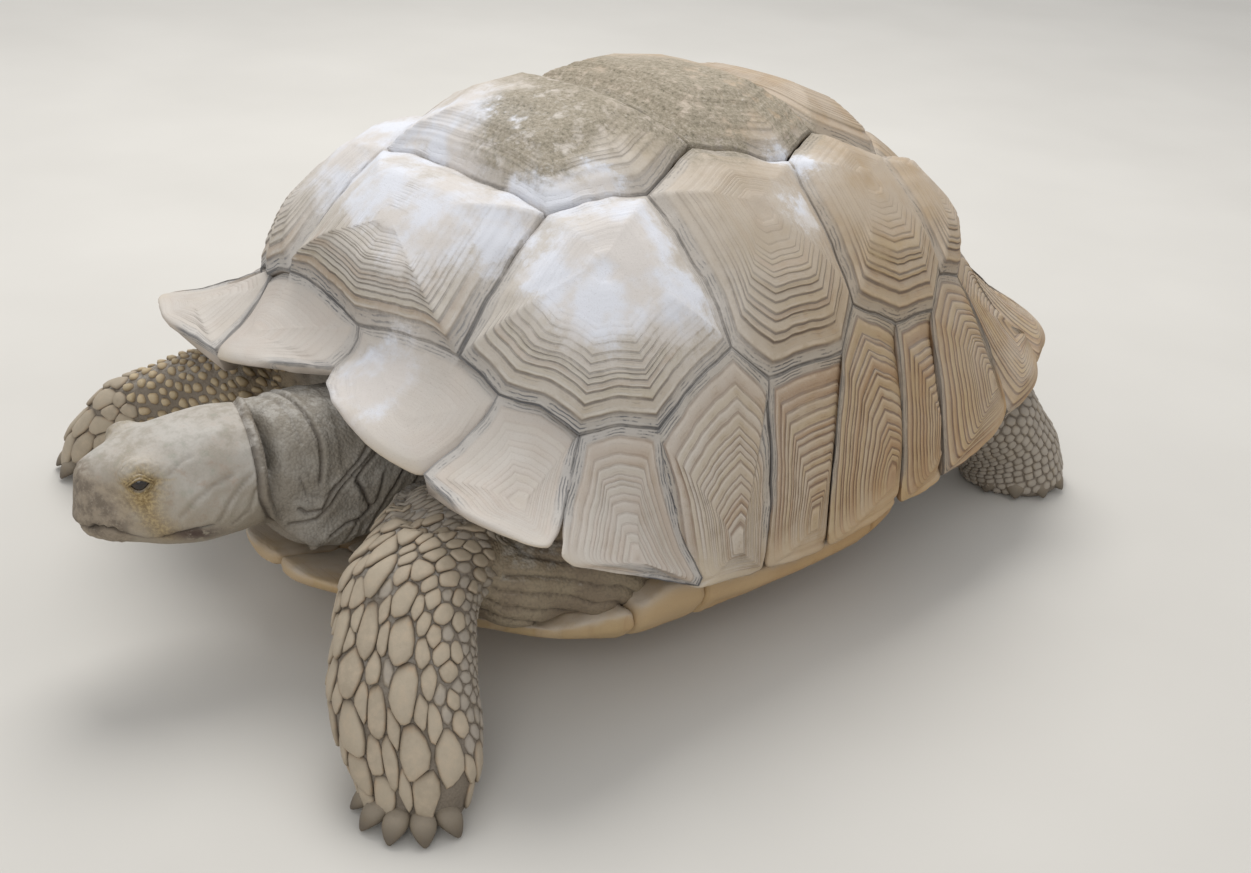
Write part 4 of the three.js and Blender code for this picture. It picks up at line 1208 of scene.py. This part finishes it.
def scale_horn(name, pale, dark, stain, worn, edge):
    """Keratin of a scale: rubbed pale on its crown, with painted shade round its rim, where it goes
    under its neighbours.
    """
    material, add = new_material(name)
    where = add("TexCoord", out="Object")
    patchy = add("TexNoise", {"Vector": where, "Scale": 130.0, "Detail": 5.0, "Roughness": 0.65})
    grain = add("TexNoise", {"Vector": where, "Scale": 900.0, "Detail": 3.0, "Roughness": 0.7})
    tone = add("Attribute", attribute_name="tone", out="Fac")
    rise = add("Attribute", attribute_name="rise", out="Fac")
    stained = add("MapRange", {"Value": patchy, "From Min": 0.48, "From Max": 0.7, "To Max": 0.6})
    tint = coated(add, (
        ((), pale),
        ((tone,), dark),
        ((stained,), stain),
        (((rise, 0.55, 1.0), patchy), worn),
        # painted shade round the rim of each scale
        (((rise, 0.75, 0.0), 0.85), edge),
    ))
    ups = add("Math", (grain, 0.5, patchy), **TIMES_PLUS)
    bump = add("Bump", {"Height": ups, "Strength": 0.7, "Distance": 0.0006})
    shader = add("BsdfPrincipled", {"Base Color": tint, "Roughness": 0.7, "Normal": bump, "IOR": 1.54})
    add("OutputMaterial", {"Surface": shader})
    return material


# cross-sections of a scale from rim to crown: share of its outline, share of its height
SHIELD = [(1.0, -0.3), (1.0, 0.30), (0.93, 0.66), (0.78, 0.90), (0.42, 1.0)]
PEBBLE = [(1.0, -0.3), (0.92, 0.55), (0.55, 0.95)]
CONE = [(1.0, -0.3), (0.85, 0.42), (0.45, 0.92)]
# the last colour of each is the painted shade round the scales' rims
tan_scale = scale_horn("sand_rubbed_scale_keratin", "#a2947f", "#92836e", "#ab8d6d", "#b6a994", "#4f4336")
grey_scale = scale_horn("dusty_pebble_scale_keratin", "#9a9083", "#8b8071", "#9f8f75", "#aca294", "#66594b")
pale_scale = scale_horn("pale_cone_scale_keratin", "#b09a78", "#9a8766", "#b8a27a", "#c4b497", "#5c4b38")
dice = random.Random(7)

# the left foreleg's shields, largest on the front and outer face: share down the leg, turn, width, stretch
SHIELDS = [
    (0.373, 15, 0.0185, 1.2), (0.413, 24, 0.0195, 1.4), (0.454, 14, 0.0175, 1.5),
    (0.444, -23, 0.0135, 1.0), (0.501, -20, 0.0150, 1.4), (0.558, 12, 0.0180, 1.7),
    (0.580, -24, 0.0190, 1.9), (0.626, 28, 0.0180, 1.7), (0.546, 44, 0.0150, 1.9),
    (0.680, -28, 0.0215, 1.8), (0.726, 31, 0.0195, 2.0), (0.626, 54, 0.0130, 2.0),
    (0.707, 2, 0.0145, 1.7), (0.787, -30, 0.0210, 1.6), (0.848, -34, 0.0190, 1.2),
    (0.798, -62, 0.0175, 2.0), (0.862, -66, 0.0170, 1.4), (0.739, -55, 0.0110, 2.0),
    (0.522, -2, 0.0085, 2.0), (0.626, 3, 0.0095, 2.0), (0.544, -44, 0.0085, 1.8),
    (0.603, -46, 0.0085, 2.0), (0.667, -52, 0.0090, 2.2), (0.789, -4, 0.0120, 2.2),
    (0.807, 36, 0.0180, 1.6), (0.857, 12, 0.0160, 1.3), (0.399, 56, 0.0150, 1.2),
    (0.454, 52, 0.0155, 1.3), (0.707, 60, 0.0140, 2.0), (0.789, 66, 0.0140, 1.8),
    (0.499, 70, 0.0120, 1.6), (0.580, 78, 0.0120, 1.8), (0.349, 46, 0.0130, 1.1),
    (0.317, 20, 0.0110, 1.0), (0.816, -92, 0.0130, 1.8), (0.857, 42, 0.0150, 1.3),
]


def off_front(turn, front):
    """How far a turn lies from the limb's front, in degrees."""
    return abs((turn - front + 180) % 360 - 180)


def fine_left(share, turn):
    """Widths of the smaller scales: finer at the shoulder and behind, coarser low down in front."""
    behind = min(1, max(0, off_front(turn, 8) - 62) / 60)
    shoulder = 0.0036 * (1 - soft_step(0.24, 0.38, share))
    low_down = 0.0028 * max(0, share - 0.68) * 4 * (abs(turn) < 120)
    return 0.0100 - shoulder - 0.0046 * behind * (shoulder < 0.001) + low_down


def long_left(share, turn):
    return 1.15 + 0.7 * max(0, 1 - off_front(turn, -10) / 110) * (share > 0.5)


def fine_right(share, turn):
    return 0.0095 + 0.0085 * soft_step(0.35, 0.95, share)


def long_right(share, turn):
    return 1.1 + 0.6 * (share > 0.7)


ALL_ROUND = (-180, 180)
left_roots = scatter("foreleg_left", (0.145, 0.97), ALL_ROUND, fine_left, long_left, dice, roots=SHIELDS)
is_shield = {(r[0], r[1]) for r in left_roots if r[2] > 0.0082}
grow_scales("shield_scales_foreleg_left", "foreleg_left", left_roots, lambda s, t: (s, t) in is_shield,
            tan_scale, 16, SHIELD, 0.0036, 0.012, 0.45, dice)
grow_scales("pebble_scales_foreleg_left", "foreleg_left", left_roots, lambda s, t: (s, t) not in is_shield,
            grey_scale, 8, PEBBLE, 0.0021, 0.02, 0.2, dice)
right_roots = scatter("foreleg_right", (0.13, 0.97), ALL_ROUND, fine_right, long_right, dice)
grow_scales("cone_scales_foreleg_right", "foreleg_right", right_roots, lambda s, t: s < 0.60,
            pale_scale, 10, CONE, 0.0040, 0.24, 0.5, dice)
grow_scales("shield_scales_foreleg_right", "foreleg_right", right_roots, lambda s, t: s >= 0.60,
            tan_scale, 14, SHIELD, 0.0036, 0.02, 0.45, dice)
for limb, shares, width, stretch, rows in (
    ("hindleg_left", (0.11, 0.95), 0.0082, 0.95, 0.0076),
    ("hindleg_right", (0.11, 0.95), 0.0082, 0.95, 0.0076),
    ("tail", (0.12, 0.86), 0.012, 1.0, 0.0085),
):
    roots = scatter(limb, shares, ALL_ROUND, lambda s, t: width, lambda s, t: stretch, dice, rows=rows)
    grow_scales("row_scales_" + limb, limb, roots, lambda s, t: True,
                grey_scale, 8, PEBBLE, 0.0026, 0.02, 0.25, dice)


# ---------------------------------------------------------------- claws and spurs
# Blunt digging claws of grey-brown horn, worn flat underneath by sand: five in front, four behind. Each
# thigh carries the two or three conical spurs that give the spurred tortoise its name.
# the last colour is the painted shade, here low down on the claws
claw_horn = scale_horn("worn_claw_keratin", "#857a69", "#736756", "#7d6e57", "#a09482", "#4a4036")
FEET = {            # middle and reach in mm, how many claws, their spread and heading, length and radius
    "foreleg_left": ((223, -366, 13), 28, 5, 126, -62, 0.031, 0.0088),
    "foreleg_right": ((-329, -291, 14), 31, 5, 130, -125, 0.032, 0.0092),
    "hindleg_left": ((196, 348, 14), 38, 4, 95, -35, 0.027, 0.0098),
    "hindleg_right": ((-204, 242, 14), 38, 4, 95, -125, 0.027, 0.0098),
}
SPURS = {           # place in mm and length
    "hindleg_left": [(128, 296, 66, 0.020), (146, 318, 58, 0.015), (112, 290, 76, 0.014)],
    "hindleg_right": [(-140, 262, 62, 0.020), (-160, 274, 54, 0.015), (-120, 256, 72, 0.014)],
}
for limb, (centre, reach, count, spread, heading, length, radius) in FEET.items():
    paw = bmesh.new()
    horns = []
    for k in range(count):
        turn = math.radians(heading + spread * (k / (count - 1) - 0.5))
        root = spot(*centre) + Vector((math.cos(turn), math.sin(turn), 0)) * reach / 1000
        horns.append((root, turn, math.radians(-16), length, radius))
    for *place, long in SPURS.get(limb, []):
        turn = math.radians(82 if place[0] > 0 else 98)
        horns.append((spot(*place), turn, math.radians(-34), long, long * 0.42))
    for root, turn, dip, long, thick in horns:
        bud = bmesh.ops.create_uvsphere(paw, u_segments=16, v_segments=12, radius=1)["verts"]
        for vert in bud:
            px, py, pz = vert.co
            tip = max(0, pz)
            slim = thick * (1 - 0.38 * tip ** 1.8)
            vert.co = (px * slim, long * (0.16 + 0.42 * pz), py * 0.7 * slim - 0.0062 * tip ** 2)
        bmesh.ops.rotate(paw, verts=bud, cent=(0, 0, 0), matrix=Matrix.Rotation(dip, 3, "X"))
        bmesh.ops.rotate(paw, verts=bud, cent=(0, 0, 0), matrix=Matrix.Rotation(turn - math.pi / 2, 3, "Z"))
        bmesh.ops.translate(paw, vec=root, verts=bud)
    tone = paw.verts.layers.float.new("tone")
    rise = paw.verts.layers.float.new("rise")
    for vert in paw.verts:
        vert.co.z = max(vert.co.z, 0.0006)
        vert[tone] = 0.5
        # height over the floor serves as the rise, so the claws carry the painted rim shade low down
        vert[rise] = min(1, max(0.3, vert.co.z / 0.02))
    claws = new_piece("claws_" + limb, paw, claw_horn)
    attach(claws, "root")


# ---------------------------------------------------------------- size
low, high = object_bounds()
